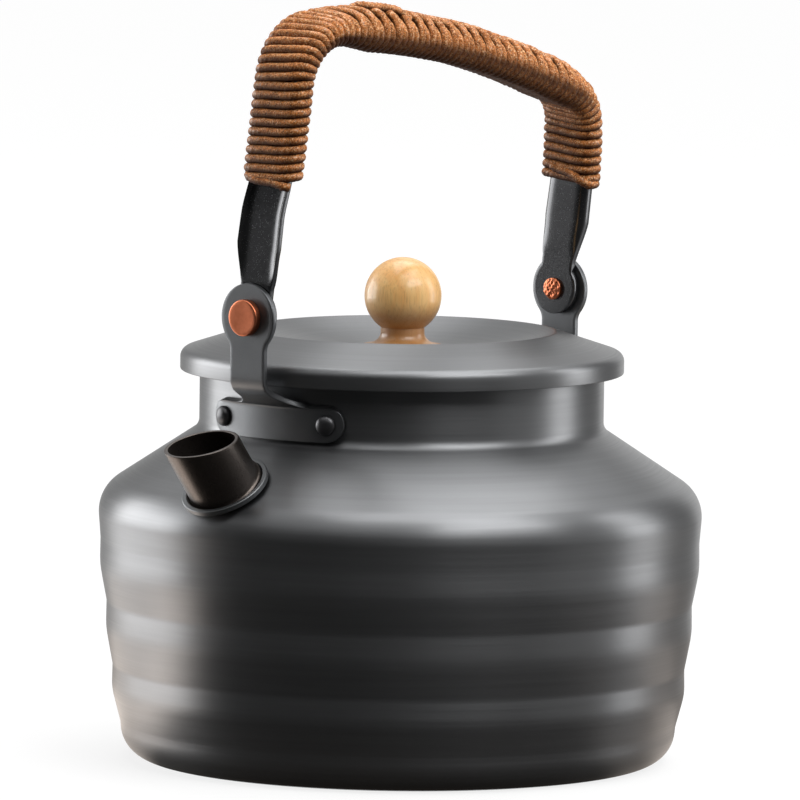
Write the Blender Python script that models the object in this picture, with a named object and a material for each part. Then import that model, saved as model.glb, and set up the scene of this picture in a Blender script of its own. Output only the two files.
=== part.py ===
"""Aluminium camp kettle: spun body, short spout, riveted brackets, corded bail and a lid with a knob.

The flat base stands on z = 0 around the Z axis. The spout points along -X. The bail turns about a
line along X, a little to the -Y side of the middle, and leans towards -Y at rest. The lid lifts
straight up.
"""
import bpy
import bmesh
from math import acos, asin, atan2, cos, hypot, pi, radians, sin, sqrt, tan
from mathutils import Vector

mm = 0.001

# Clearances
seat_gap = 0.3 * mm
hole_gap = 0.3 * mm
collar_gap = 0.7 * mm
cord_gap = 0.5 * mm
guide_margin = 4.0 * mm
spout_guide_reach = 12.0 * mm
same_height = 0.01 * mm

# Spun body: outline radii and heights
body_wall = 1.2 * mm
crown_reach = 80.3 * mm
crown_height = 70.8 * mm
crown_radius = 9.3 * mm
base_inset = 7.5 * mm
base_corner_radius = 8.8 * mm
crease_insets = (6.7 * mm, 4.5 * mm, 2.75 * mm, 1.0 * mm)
crease_shares = (0.1356, 0.3503, 0.5904, 0.8249)
band_bulge = 0.62 * mm
band_bulge_skew = 0.75
band_stations = (1.0, 0.65, 0.3)
shoulder_slope = radians(33.4)
neck_radius = 53.5 * mm
neck_fillet = 5.0 * mm
neck_length = 19.93 * mm
bead_radius = 1.5 * mm

# Lid
lid_wall = 1.2 * mm
lid_overhang = 5.2 * mm
lid_rim_drop = 5.0 * mm
lid_rim_round = 2.5 * mm
lid_slope = radians(18)
ridge_inset = 12.9 * mm
ridge_round = 2.0 * mm
dish_depth = 5.0 * mm
dish_floor_radius = 11.5 * mm
dish_stop = 0.93
collar_wall = 1.0 * mm
collar_depth = 8.0 * mm
collar_flange = 5.0 * mm

# Turned knob and its screw
knob_ball_radius = 10.2 * mm
knob_height = 23.8 * mm
knob_neck_radius = 5.8 * mm
knob_foot_radius = 10.4 * mm
knob_foot_edge = 0.7 * mm
knob_flare = 3.1 * mm
screw_radius = 2.3 * mm
screw_reach = 10.0 * mm
screw_head_radius = 4.4 * mm
screw_head_height = 2.4 * mm
screw_head_edge = 1.0 * mm
washer_radius = 7.0 * mm
washer_thickness = 1.0 * mm

# Spout
spout_share = 0.616
spout_tilt = radians(39)
spout_mouth_tilt = radians(16)
spout_length = 16.4 * mm
spout_foot_radius = 10.3 * mm
spout_mouth_radius = 9.5 * mm
spout_wall = 1.0 * mm
spout_spigot_radius = 8.6 * mm
spout_spigot_length = 4.6 * mm
spout_lip_round = 0.4 * mm
spout_bore_widens = 4.9 * mm
mouth_blend_start = 6.5 * mm
mouth_blend_run = 8.2 * mm
flange_radius = 11.8 * mm
flange_thickness = 1.5 * mm
flange_edge = 0.45 * mm
flange_root = 3.0 * mm
lock_ring_radius = 10.9 * mm
lock_ring_thickness = 2.2 * mm

# Brackets and their rivets
pivot_rise = 31.8 * mm
hinge_shift = 1.5 * mm
bracket_plate = 1.5 * mm
bracket_disc_radius = 8.7 * mm
bracket_disc_tip = radians(5)
bracket_disc_blend = 4.0 * mm
bracket_neck_width = 10.9 * mm
bracket_fillet = 7.5 * mm
bracket_fillet_start = 0.02 * mm
band_lift = 1.73 * mm
band_width = 8.6 * mm
band_length = 43.4 * mm
joggle_rise = 4.6 * mm
joggle_bend = 2.6 * mm
rivet_spread = radians(18)
rivet_shank_radius = 1.5 * mm
rivet_dome_radius = 2.6 * mm
rivet_dome_height = 1.5 * mm
rivet_dome_seat = 0.45 * mm
rivet_tail_radius = 2.4 * mm
rivet_tail_height = 1.0 * mm

# Copper pivot rivets
pivot_shank_radius = 2.3 * mm
pivot_head_radius = 4.8 * mm
pivot_head_height = 2.0 * mm
pivot_head_edge = 0.4 * mm
pivot_tail_radius = 2.95 * mm
pivot_tail_height = 1.0 * mm
pivot_tail_edge = 0.5 * mm

# Bail strap: a channelled strip whose ends are flattened into round eyes
strap_thickness = 1.8 * mm
strap_rise = 1.4 * mm
strap_width = 13.0 * mm
strap_kink_width = 13.8 * mm
strap_kink_height = 18.6 * mm
strap_plain_height = 36.0 * mm
eye_radius = 7.25 * mm
eye_tip = radians(9)
eye_neck_width = 10.4 * mm
eye_neck_height = 8.0 * mm
leg_room = 7.0 * mm
bar_crest_place = -67.7 * mm
bar_crest_height = 74.2 * mm
bar_radius = 364.0 * mm
front_corner_radius = 11.4 * mm
rear_corner_radius = 10.4 * mm
station_room = 1.0 * mm
bail_lean = radians(8.0)

# Cord on the bail
cord_diameter = 2.4 * mm
turn_width = 1.95 * mm
bar_turn_width = 3.55 * mm
bar_spine_rise = 1.2 * mm
cord_side_room = 0.45 * mm
cord_face_room = 0.55 * mm
turn_squareness = 0.4
front_cord_start = 37.6 * mm
rear_cord_start = 30.4 * mm
front_turns = 16
bar_turns = 24
rear_turns = 9
turn_points = 10

# Sizes that follow from those above
base_corner_reach = crown_reach - base_inset
crease_heights = [crown_height * share for share in crease_shares]
crease_radii = [crown_reach - inset for inset in crease_insets]
neck_foot = crown_height + (crown_reach - neck_radius) * tan(shoulder_slope)
neck_top = neck_foot + neck_length
lid_rim_radius = neck_radius + lid_overhang
ridge_radius = neck_radius - ridge_inset
spout_distance = neck_radius + (crown_reach - neck_radius) * spout_share
band_bottom = neck_foot + band_lift
pivot_height = band_bottom + pivot_rise
leg_distance = neck_radius + leg_room

# Facets
body_segments = 40
lid_segments = 36
small_segments = 20
spout_segments = 24
flange_segments = 28
rivet_segments = 12
bracket_columns = 6
strap_columns = 4


def material(name, colour, metallic, roughness):
    """A plain Principled material."""
    made = bpy.data.materials.new(name)
    made.use_nodes = True
    shader = made.node_tree.nodes["Principled BSDF"]
    shader.inputs["Base Color"].default_value = (*colour, 1.0)
    shader.inputs["Metallic"].default_value = metallic
    shader.inputs["Roughness"].default_value = roughness
    return made


def add_object(name, mesh_maker, finish, sharp=radians(35)):
    """Turn a filled bmesh into a named, smooth-shaded object."""
    bmesh.ops.recalc_face_normals(mesh_maker, faces=mesh_maker.faces)
    mesh = bpy.data.meshes.new(name)
    mesh_maker.to_mesh(mesh)
    mesh_maker.free()
    mesh.shade_smooth()
    mesh.set_sharp_from_angle(angle=sharp)
    made = bpy.data.objects.new(name, mesh)
    bpy.context.scene.collection.objects.link(made)
    if finish:
        made.data.materials.append(finish)
    return made


def add_cutter(name, mesh_maker):
    """A guide solid that only shapes other pieces."""
    made = add_object(name, mesh_maker, None)
    made.hide_render = True
    made.display_type = "WIRE"
    return made


def cut(piece, cutter, operation="DIFFERENCE"):
    """Cut or trim a piece with a guide solid."""
    step = piece.modifiers.new(cutter.name, "BOOLEAN")
    step.object = cutter
    step.operation = operation
    step.solver = "EXACT"


def turned(outline, segments):
    """Spin an outline of (radius, height) points about Z. Points on the axis close the shape."""
    maker = bmesh.new()
    on_axis = outline[0][0] == 0 and outline[-1][0] == 0
    verts = [maker.verts.new((r, 0, z)) for r, z in outline]
    pairs = list(zip(verts, verts[1:]))
    if not on_axis:
        pairs.append((verts[-1], verts[0]))
    edges = [maker.edges.new(pair) for pair in pairs]
    bmesh.ops.spin(maker, geom=verts + edges, cent=(0, 0, 0), axis=(0, 0, 1),
                   angle=2 * pi, steps=segments, use_merge=True)
    bmesh.ops.remove_doubles(maker, verts=maker.verts, dist=1e-6)
    return maker


def loft(rings):
    """Skin a row of closed rings and cap both ends."""
    maker = bmesh.new()
    rows = [[maker.verts.new(point) for point in ring] for ring in rings]
    count = len(rows[0])
    for low, high in zip(rows, rows[1:]):
        for i in range(count):
            j = (i + 1) % count
            maker.faces.new((low[i], low[j], high[j], high[i]))
    maker.faces.new(rows[0][::-1])
    maker.faces.new(rows[-1])
    return maker


def arc(centre, radius, start, end, steps):
    """Points on an arc, both ends included."""
    cx, cy = centre
    turns = [start + (end - start) * i / steps for i in range(steps + 1)]
    return [(cx + radius * cos(a), cy + radius * sin(a)) for a in turns]


def rounded(corners, steps):
    """Replace each (x, y, radius) corner of an open line by an arc that meets both sides."""
    line = [corners[0][:2]]
    for before, corner, after in zip(corners, corners[1:], corners[2:]):
        here = Vector(corner[:2])
        back = (Vector(before[:2]) - here).normalized()
        ahead = (Vector(after[:2]) - here).normalized()
        half = back.angle(ahead) / 2
        radius = corner[2]
        if radius == 0:
            line.append(tuple(here))
            continue
        start = here + back * (radius / tan(half))
        centre = here + (back + ahead).normalized() * (radius / sin(half))
        first = start - centre
        turn = pi - 2 * half
        side = 1 if back.x * ahead.y - back.y * ahead.x < 0 else -1
        for i in range(steps + 1):
            a = side * turn * i / steps
            line.append((centre.x + first.x * cos(a) - first.y * sin(a),
                         centre.y + first.x * sin(a) + first.y * cos(a)))
    line.append(corners[-1][:2])
    return line


def offset(line, distance):
    """Shift an open line sideways, to its left, with mitred corners."""
    shifted = []
    for i, point in enumerate(line):
        sides = []
        for a, b in ((i - 1, i), (i, i + 1)):
            if 0 <= a and b < len(line):
                run = (Vector(line[b]) - Vector(line[a])).normalized()
                sides.append(Vector((-run.y, run.x)))
        mean = sum(sides, Vector((0, 0))).normalized()
        shifted.append(tuple(Vector(point) + mean * (distance / mean.dot(sides[0]))))
    return shifted


def ease(t):
    """Smooth step from 0 to 1."""
    t = min(max(t, 0.0), 1.0)
    return t * t * (3 - 2 * t)


def shoulder_z(radius):
    """Height of the outer face of the sloping shoulder."""
    return crown_height + (crown_reach - radius) * tan(shoulder_slope)


def body_side():
    """Outer line of the body from the middle of the base up to the neck."""
    base = rounded([(0, 0), (base_corner_reach, 0, base_corner_radius),
                    (crease_radii[0], crease_heights[0])], 3)
    line = base[:-1]
    for low in range(len(crease_radii) - 1):
        r0, r1 = crease_radii[low], crease_radii[low + 1]
        z0, z1 = crease_heights[low], crease_heights[low + 1]
        for down in band_stations:
            bulge = band_bulge * sin(pi * down ** band_bulge_skew)
            line.append((r1 + (r0 - r1) * down + bulge, z1 + (z0 - z1) * down))
    line += rounded([(crease_radii[-1], crease_heights[-1]), (crown_reach, crown_height, crown_radius),
                     (neck_radius, neck_foot, neck_fillet),
                     (neck_radius, neck_top - 2 * bead_radius)], 4)[:-1]
    return line


def make_body():
    """Body shell: ribbed side, sloping shoulder, and a neck that ends in a rolled bead."""
    side = body_side()
    neck_inner = neck_radius - body_wall
    bead = (neck_inner + bead_radius, neck_top - bead_radius)
    foot = -acos((neck_radius - bead[0]) / bead_radius)
    rim = arc(bead, bead_radius, foot, pi, 5)
    inside = offset(side, body_wall)
    inside[0] = (0, body_wall)
    return turned(side + rim + inside[::-1], body_segments)


def bead_centre():
    """Middle of the rolled bead that the lid rests on."""
    return neck_radius - body_wall + bead_radius, neck_top - bead_radius


def ridge_height():
    """Height of the lid's ridge, set so that the underside rests on the bead."""
    bead_r, bead_z = bead_centre()
    reach = bead_radius + seat_gap + lid_wall
    return bead_z + (bead_r - ridge_radius) * tan(lid_slope) + reach / cos(lid_slope)


def lid_top_z(radius):
    """Height of the lid's outer cone."""
    return ridge_height() - (radius - ridge_radius) * tan(lid_slope)


def dish_floor_z():
    """Height of the flat floor that the knob stands on."""
    return ridge_height() - dish_depth


def lid_line():
    """Outer line of the lid from the screw hole to the lower edge of the rim."""
    floor = dish_floor_z()
    span = ridge_radius - dish_floor_radius
    bowl = (span * span + dish_depth * dish_depth) / (2 * dish_depth)
    line = [(screw_radius + hole_gap, floor)]
    for i in range(4):
        r = span * i / 4
        line.append((dish_floor_radius + r, floor + bowl - sqrt(bowl * bowl - r * r)))
    stop = span * dish_stop
    last = (dish_floor_radius + stop, floor + bowl - sqrt(bowl * bowl - stop * stop))
    rim_bottom = lid_top_z(lid_rim_radius) - lid_rim_drop
    line += rounded([last, (ridge_radius, ridge_height(), ridge_round),
                     (lid_rim_radius, lid_top_z(lid_rim_radius), lid_rim_round),
                     (lid_rim_radius, rim_bottom)], 2)
    return line


def make_lid():
    """Lid shell: screw hole, dished middle, sloping edge and a deep rim."""
    top = lid_line()
    under = offset(top, -lid_wall)
    under[0] = (top[0][0], top[0][1] - lid_wall)
    under[-1] = (top[-1][0] - lid_wall, top[-1][1])
    return turned(top + under[::-1], lid_segments)


def make_collar():
    """Ring under the lid that drops inside the neck and keeps the lid in the middle."""
    outer = neck_radius - body_wall - collar_gap
    inner = outer - collar_wall
    drop = (lid_wall + seat_gap) / cos(lid_slope)
    tip = inner - collar_flange
    top_outer = lid_top_z(outer) - drop
    top_tip = lid_top_z(tip) - drop
    under = collar_wall / cos(lid_slope)
    bottom = top_outer - collar_depth
    line = [(outer, bottom), (outer, top_outer), (tip, top_tip), (tip, top_tip - under),
            (inner, lid_top_z(inner) - drop - under), (inner, bottom)]
    return turned(line, lid_segments)


def make_knob():
    """Turned knob: a ball on a short neck that flares into a round foot."""
    floor = dish_floor_z() + seat_gap
    hole = screw_radius + hole_gap
    depth = screw_reach + hole_gap
    ball_z = floor + knob_height - knob_ball_radius
    flare_top = floor + knob_foot_edge + knob_flare
    start = -asin(sqrt(1 - (knob_neck_radius / knob_ball_radius) ** 2))
    line = [(0, floor + depth), (hole, floor + depth), (hole, floor), (knob_foot_radius, floor)]
    for i in range(4):
        a = pi / 2 * i / 3
        line.append((knob_foot_radius - (knob_foot_radius - knob_neck_radius) * sin(a),
                     flare_top - knob_flare * cos(a)))
    line += arc((0, ball_z), knob_ball_radius, start, pi / 2, 9)[:-1]
    line.append((0, ball_z + knob_ball_radius))
    return turned(line, spout_segments)


def make_knob_screw():
    """Pan-head screw that holds the knob from under the lid."""
    under = dish_floor_z() - lid_wall - washer_thickness - 2 * seat_gap
    bottom = under - screw_head_height
    top = dish_floor_z() + seat_gap + screw_reach
    line = [(0, bottom), (screw_head_radius - screw_head_edge, bottom),
            (screw_head_radius, bottom + screw_head_edge), (screw_head_radius, under),
            (screw_radius, under), (screw_radius, top - screw_radius / 2), (screw_radius / 2, top),
            (0, top)]
    return turned(line, small_segments)


def make_knob_washer():
    """Flat washer between the screw head and the lid."""
    top = dish_floor_z() - lid_wall - seat_gap
    inner = screw_radius + hole_gap
    line = [(inner, top - washer_thickness), (washer_radius, top - washer_thickness),
            (washer_radius, top), (inner, top)]
    return turned(line, small_segments)


def spout_place():
    """Where the spout's axis meets the outer face of the shoulder, and its turn about Y."""
    return (-spout_distance, 0, shoulder_z(spout_distance)), (0, -spout_tilt, 0)


def make_spout():
    """Spout tube along its own Z: a spigot below the shoulder and a mouth cut nearly level."""
    inner_mouth = spout_mouth_radius - spout_wall
    inner_foot = spout_spigot_radius - spout_wall
    line = [(inner_foot, -spout_spigot_length), (spout_spigot_radius, -spout_spigot_length),
            (spout_spigot_radius, seat_gap), (spout_foot_radius, seat_gap),
            (spout_foot_radius, flange_thickness * 2),
            (spout_mouth_radius, spout_length - 2 * spout_lip_round)]
    rim = arc((spout_mouth_radius - spout_wall / 2, spout_length - spout_wall / 2), spout_wall / 2,
              0, pi, 4)
    line += rim[1:-1]
    line += [(inner_mouth, spout_length - 2 * spout_lip_round), (inner_foot, spout_bore_widens)]
    maker = turned(line, spout_segments)
    mouth_shear = tan(spout_tilt - spout_mouth_tilt)
    seat_shear = tan(spout_tilt - shoulder_slope)
    for vert in maker.verts:
        if abs(vert.co.z - seat_gap) < same_height:
            vert.co.z -= vert.co.x * seat_shear
        else:
            share = ease((vert.co.z - mouth_blend_start) / mouth_blend_run)
            vert.co.z -= vert.co.x * mouth_shear * share
    return maker


def make_spout_flange():
    """Round plate that the spout stands in, before it is bored and trimmed to the shoulder."""
    line = [(0, -flange_root), (flange_radius, -flange_root),
            (flange_radius, flange_thickness - flange_edge),
            (flange_radius - flange_edge, flange_thickness), (0, flange_thickness)]
    return turned(line, flange_segments)


def make_lock_ring():
    """Round plate inside the body, before it is bored and trimmed to the shoulder."""
    low = -body_wall - seat_gap - lock_ring_thickness
    line = [(0, low), (lock_ring_radius, low), (lock_ring_radius, 0), (0, 0)]
    return turned(line, spout_segments)


def make_bore_guide(radius):
    """Cylinder along the spout's axis, through the shoulder."""
    reach = spout_guide_reach
    return turned([(0, -reach), (radius, -reach), (radius, reach), (0, reach)], spout_segments)


def body_guide(inset):
    """Solid of the body's outer form, shrunk by the inset or grown where that is negative."""
    line = offset(body_side(), inset)
    line[0] = (0, line[0][1])
    return turned(line + [(0, line[-1][1])], body_segments)


def bracket_path():
    """Line of the bracket's inner face from the band's lower edge to the top of the disc."""
    band_r = neck_radius + seat_gap
    plate_r = bracket_inner_face()
    top_of_band = band_bottom + band_width
    return rounded([(band_r, band_bottom), (band_r, top_of_band, joggle_bend),
                    (plate_r, top_of_band + joggle_rise, joggle_bend),
                    (plate_r, pivot_height + bracket_disc_radius)], 4)


def bracket_inner_face():
    """Distance of the bracket's upper part from the middle of the kettle."""
    return leg_distance + strap_thickness + seat_gap


def walk(line, distance):
    """Point and unit direction at a distance along a line of points."""
    for a, b in zip(line, line[1:]):
        run = hypot(b[0] - a[0], b[1] - a[1])
        if distance <= run or b is line[-1]:
            t = distance / run
            place = (a[0] + (b[0] - a[0]) * t, a[1] + (b[1] - a[1]) * t)
            return place, ((b[0] - a[0]) / run, (b[1] - a[1]) / run)
        distance -= run


def line_length(line):
    """Length of a line of points."""
    return sum(hypot(b[0] - a[0], b[1] - a[1]) for a, b in zip(line, line[1:]))


def bracket_outline(total):
    """(distance up the plate, half width) pairs of the flat blank of the bracket."""
    end = band_width / 2
    straight = band_length / 2 - end
    neck = bracket_neck_width / 2
    pairs = [(end + end * sin(a), straight + end * cos(a))
             for a in [-pi / 2 + pi * i / 6 for i in range(7)]]
    for i in range(5):
        a = pi / 2 * i / 4
        pairs.append((band_width + bracket_fillet * (1 - cos(a)) + bracket_fillet_start,
                      neck + bracket_fillet * (1 - sin(a))))
    centre = total - bracket_disc_radius
    blend = bracket_disc_blend
    reach = sqrt((bracket_disc_radius + blend) ** 2 - (neck + blend) ** 2)
    meet = atan2(reach, neck + blend)
    for i in range(4):
        a = meet * i / 3
        pairs.append((centre - reach + blend * sin(a), neck + blend * (1 - cos(a))))
    for i in range(1, 10):
        a = -meet + (pi / 2 - bracket_disc_tip + meet) * i / 9
        pairs.append((centre + bracket_disc_radius * sin(a), bracket_disc_radius * cos(a)))
    return pairs


def make_bracket(shift):
    """Bent plate on the +X side: a band round the neck and an upright with a disc, shifted in Y."""
    line = bracket_path()
    total = line_length(line)
    bend = neck_radius + seat_gap
    rings = []
    for distance, half in bracket_outline(total):
        (r, z), (dr, dz) = walk(line, distance)
        straighten = ease((distance - band_width) / (bracket_fillet * 1.5))
        curve = (1 - straighten) / bend
        ring = []
        for height in (0, bracket_plate):
            row = []
            face_r, face_z = r + dz * height, z - dr * height
            for i in range(bracket_columns + 1):
                side = half * (2 * i / bracket_columns - 1) + shift
                angle = side * curve
                radius = 1 / curve + (face_r - r) if curve > 1e-4 else None
                x = face_r - radius * (1 - cos(angle)) if radius else face_r
                y = radius * sin(angle) if radius else side
                row.append((x, y, face_z))
            ring += row if height == 0 else row[::-1]
        rings.append(ring)
    return loft(rings)


def make_band_rivet():
    """Round-head rivet along its own Z, with Z pointing out of the neck."""
    inner = neck_radius - body_wall - 2 * seat_gap
    outer = neck_radius + seat_gap + bracket_plate + rivet_dome_seat
    line = [(0, inner - rivet_tail_height), (rivet_tail_radius, inner - rivet_tail_height),
            (rivet_tail_radius, inner), (rivet_shank_radius, inner), (rivet_shank_radius, outer),
            (rivet_dome_radius, outer)]
    for i in range(1, 4):
        a = pi / 2 * i / 4
        line.append((rivet_dome_radius * cos(a), outer + rivet_dome_height * sin(a)))
    line.append((0, outer + rivet_dome_height))
    return turned(line, rivet_segments)


def make_rivet_hole():
    """Cutter for a band rivet's hole through the neck and the band."""
    low = neck_radius - guide_margin
    high = neck_radius + bracket_plate + guide_margin
    r = rivet_shank_radius + hole_gap
    return turned([(0, low), (r, low), (r, high), (0, high)], rivet_segments)


def make_pivot_rivet():
    """Copper pivot along its own Z: flat head outside, hammered end inside."""
    inner = leg_distance - seat_gap
    outer = bracket_inner_face() + bracket_plate + seat_gap
    tail = inner - pivot_tail_height
    top = outer + pivot_head_height
    line = [(0, tail), (pivot_tail_radius - pivot_tail_edge, tail),
            (pivot_tail_radius, tail + pivot_tail_edge), (pivot_tail_radius, inner),
            (pivot_shank_radius, inner), (pivot_shank_radius, outer), (pivot_head_radius, outer),
            (pivot_head_radius, top - pivot_head_edge), (pivot_head_radius - pivot_head_edge, top),
            (0, top)]
    return turned(line, small_segments)


def make_pivot_hole():
    """Cutter for a pivot hole through the bracket and the eye."""
    low = leg_distance - guide_margin
    high = bracket_inner_face() + bracket_plate + guide_margin
    r = pivot_shank_radius + hole_gap
    return turned([(0, low), (r, low), (r, high), (0, high)], small_segments)


def bail_corners():
    """Middle, radius and the bar's angle of each corner of the strap's inner line."""
    centre_v = bar_crest_height - bar_radius
    corners = []
    for side, radius in ((-1, front_corner_radius), (1, rear_corner_radius)):
        u = side * (leg_distance - radius)
        reach = bar_radius - radius
        v = centre_v + sqrt(reach ** 2 - (u - bar_crest_place) ** 2)
        corners.append((u, v, radius, atan2(v - centre_v, u - bar_crest_place)))
    return corners


def bail_line():
    """Inner line of the bail in its own plane, as (kind, length, values) pieces, front to rear."""
    front, rear = bail_corners()
    big = (bar_crest_place, bar_crest_height - bar_radius)
    return [("leg", front[1] + eye_radius, (-leg_distance, -eye_radius, 1)),
            ("arc", front[2] * (pi - front[3]), (front[:2], front[2], pi)),
            ("arc", bar_radius * (front[3] - rear[3]), (big, bar_radius, front[3])),
            ("arc", rear[2] * rear[3], (rear[:2], rear[2], rear[3])),
            ("leg", rear[1] + eye_radius, (leg_distance, rear[1], -1))]


def bail_point(distance):
    """Place on the inner line and the direction away from the middle of the kettle."""
    pieces = bail_line()
    for kind, length, values in pieces:
        if distance <= length or (kind, length, values) == pieces[-1]:
            break
        distance -= length
    if kind == "leg":
        u, v, way = values
        return Vector((u, v + way * distance)), Vector((-way, 0))
    (cu, cv), radius, start = values
    angle = start - distance / radius
    away = Vector((cos(angle), sin(angle)))
    return Vector((cu, cv)) + away * radius, away


def bail_length():
    """Whole length of the inner line."""
    return sum(length for kind, length, values in bail_line())


def strap_shape(height):
    """Width and rise of the strap at a height above the pivot."""
    disc_top = sqrt(eye_radius ** 2 - (eye_neck_width / 2) ** 2)
    if height < disc_top:
        return 2 * sqrt(max(eye_radius ** 2 - height ** 2, 0)), 0
    if height < strap_kink_height:
        t = max(height - eye_neck_height, 0) / (strap_kink_height - eye_neck_height)
        width = eye_neck_width + (strap_kink_width - eye_neck_width) * t ** 0.8
        return width, strap_rise * ease(t)
    t = min((height - strap_kink_height) / (strap_plain_height - strap_kink_height), 1)
    return strap_kink_width + (strap_width - strap_kink_width) * t, strap_rise


def strap_stations():
    """Distances along the inner line at which the strap gets a section."""
    disc_top = sqrt(eye_radius ** 2 - (eye_neck_width / 2) ** 2)
    stop = asin(disc_top / eye_radius)
    low = eye_tip - pi / 2
    heights = [eye_radius * sin(low + (stop - low) * i / 8) for i in range(9)]
    flare = strap_kink_height - eye_neck_height
    heights += [eye_neck_height + flare * i / 3 for i in range(4)] + [strap_plain_height]
    near = [h + eye_radius for h in heights]
    total = bail_length()
    pieces = bail_line()
    stations = near[:]
    start = pieces[0][1]
    for length, steps in ((pieces[1][1], 6), (pieces[2][1], 9), (pieces[3][1], 5)):
        stations += [start + length * i / steps for i in range(steps)]
        start += length
    stations.append(start)
    stations += [total - d for d in reversed(near) if total - d > start + station_room]
    return stations


def make_strap():
    """Strap of the bail in its own frame: X along the pivot line, Z up, Y across the strap."""
    total = bail_length()
    rings = []
    for distance in strap_stations():
        place, away = bail_point(distance)
        height = min(distance, total - distance) - eye_radius
        width, rise = strap_shape(height)
        ring = []
        for level in (0, strap_thickness):
            row = []
            for i in range(strap_columns + 1):
                side = 2 * i / strap_columns - 1
                lift = level + rise * (1 - side * side)
                row.append((place.x + away.x * lift, side * width / 2, place.y + away.y * lift))
            ring += row if level == 0 else row[::-1]
        rings.append(ring)
    return loft(rings)


def inner_run(start, end, inset, steps=240):
    """Table of (run along the inner side of the cord, distance along the inner line)."""
    table = [(0.0, start)]
    last = None
    for i in range(steps + 1):
        distance = start + (end - start) * i / steps
        place, away = bail_point(distance)
        here = place - away * inset
        if last is not None:
            table.append((table[-1][0] + (here - last).length, distance))
        last = here
    return table


def look_up(table, run):
    """Distance along the inner line for a run along the inner side of the cord."""
    for (run_a, a), (run_b, b) in zip(table, table[1:]):
        if run <= run_b:
            return a + (b - a) * (run - run_a) / (run_b - run_a)
    return table[-1][1]


def squared(value):
    """Push a sine or cosine outwards so that a turn hugs a flat strap."""
    return (1 if value >= 0 else -1) * abs(value) ** turn_squareness


def winding_route(start, end, turns, spine):
    """Points and outward directions of a cord wound round the strap from start to end."""
    depth = strap_thickness + strap_rise
    half_wide = strap_width / 2 + cord_diameter / 2 + cord_side_room
    half_deep = depth / 2 + cord_diameter / 2 + cord_face_room
    table = inner_run(start, end, half_deep - depth / 2)
    whole = table[-1][0]
    route = []
    count = turns * turn_points
    for i in range(count + 1):
        place, away = bail_point(look_up(table, whole * i / count))
        angle = 2 * pi * i / turn_points
        side = half_wide * squared(cos(angle))
        rise = half_deep * squared(sin(angle)) + spine * max(sin(angle), 0) ** 2
        out = Vector((away.x * (depth / 2 + rise), 0, away.y * (depth / 2 + rise)))
        point = Vector((place.x, side, place.y)) + out
        lean = Vector((away.x * rise / half_deep ** 2, side / half_wide ** 2,
                       away.y * rise / half_deep ** 2)).normalized()
        route.append((point, lean))
    return route


def straight_ends(route, reach):
    """Lengthen both ends of a route by a straight run."""
    first = (route[0][0] - route[1][0]).normalized() * reach
    last = (route[-1][0] - route[-2][0]).normalized() * reach
    return [(route[0][0] + first, route[0][1])] + route + [(route[-1][0] + last, route[-1][1])]


def least_gap(route, width):
    """Smallest distance between one turn and the next, less the cord's own width."""
    points = [point for point, lean in route]
    near = turn_points // 2
    return min((points[i] - points[j]).length
               for i in range(len(points))
               for j in range(i + near, min(i + 2 * turn_points, len(points)))) - width


def make_winding(name, start, end, turns, width, spine):
    """One unbroken cord wound round the strap, six sided, as wide along the strap as asked."""
    route = winding_route(start, end, turns, spine)
    print(name, "least gap between turns:", round(least_gap(route, width) / mm, 2), "mm")
    route = straight_ends(route, turn_width)
    rings = []
    for i, (point, lean) in enumerate(route):
        ahead = route[min(i + 1, len(route) - 1)][0] - route[max(i - 1, 0)][0]
        ahead.normalize()
        along = ahead.cross(lean).normalized()
        out = along.cross(ahead)
        ring = []
        for k in range(6):
            a = 2 * pi * k / 6
            ring.append(point + along * (width / 2 * cos(a)) + out * (turn_width / 2 * sin(a)))
        rings.append(ring)
    return loft(rings)


def cord_spans():
    """Start and end of the front, bar and rear windings along the inner line."""
    pieces = bail_line()
    total = bail_length()
    front_end = pieces[0][1] + pieces[1][1]
    rear_start = front_end + pieces[2][1]
    between = (bar_turn_width + turn_width) / 2 + cord_gap
    front = (eye_radius + front_cord_start, front_end)
    bar = (front_end + between, rear_start - between)
    rear = (rear_start, total - eye_radius - rear_cord_start)
    return front, bar, rear


def place(piece, location=(0, 0, 0), turn=(0, 0, 0), parent=None):
    """Set a piece's place, and its parent if it rides on one."""
    piece.location = location
    piece.rotation_euler = turn
    if parent:
        piece.parent = parent
    return piece


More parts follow.
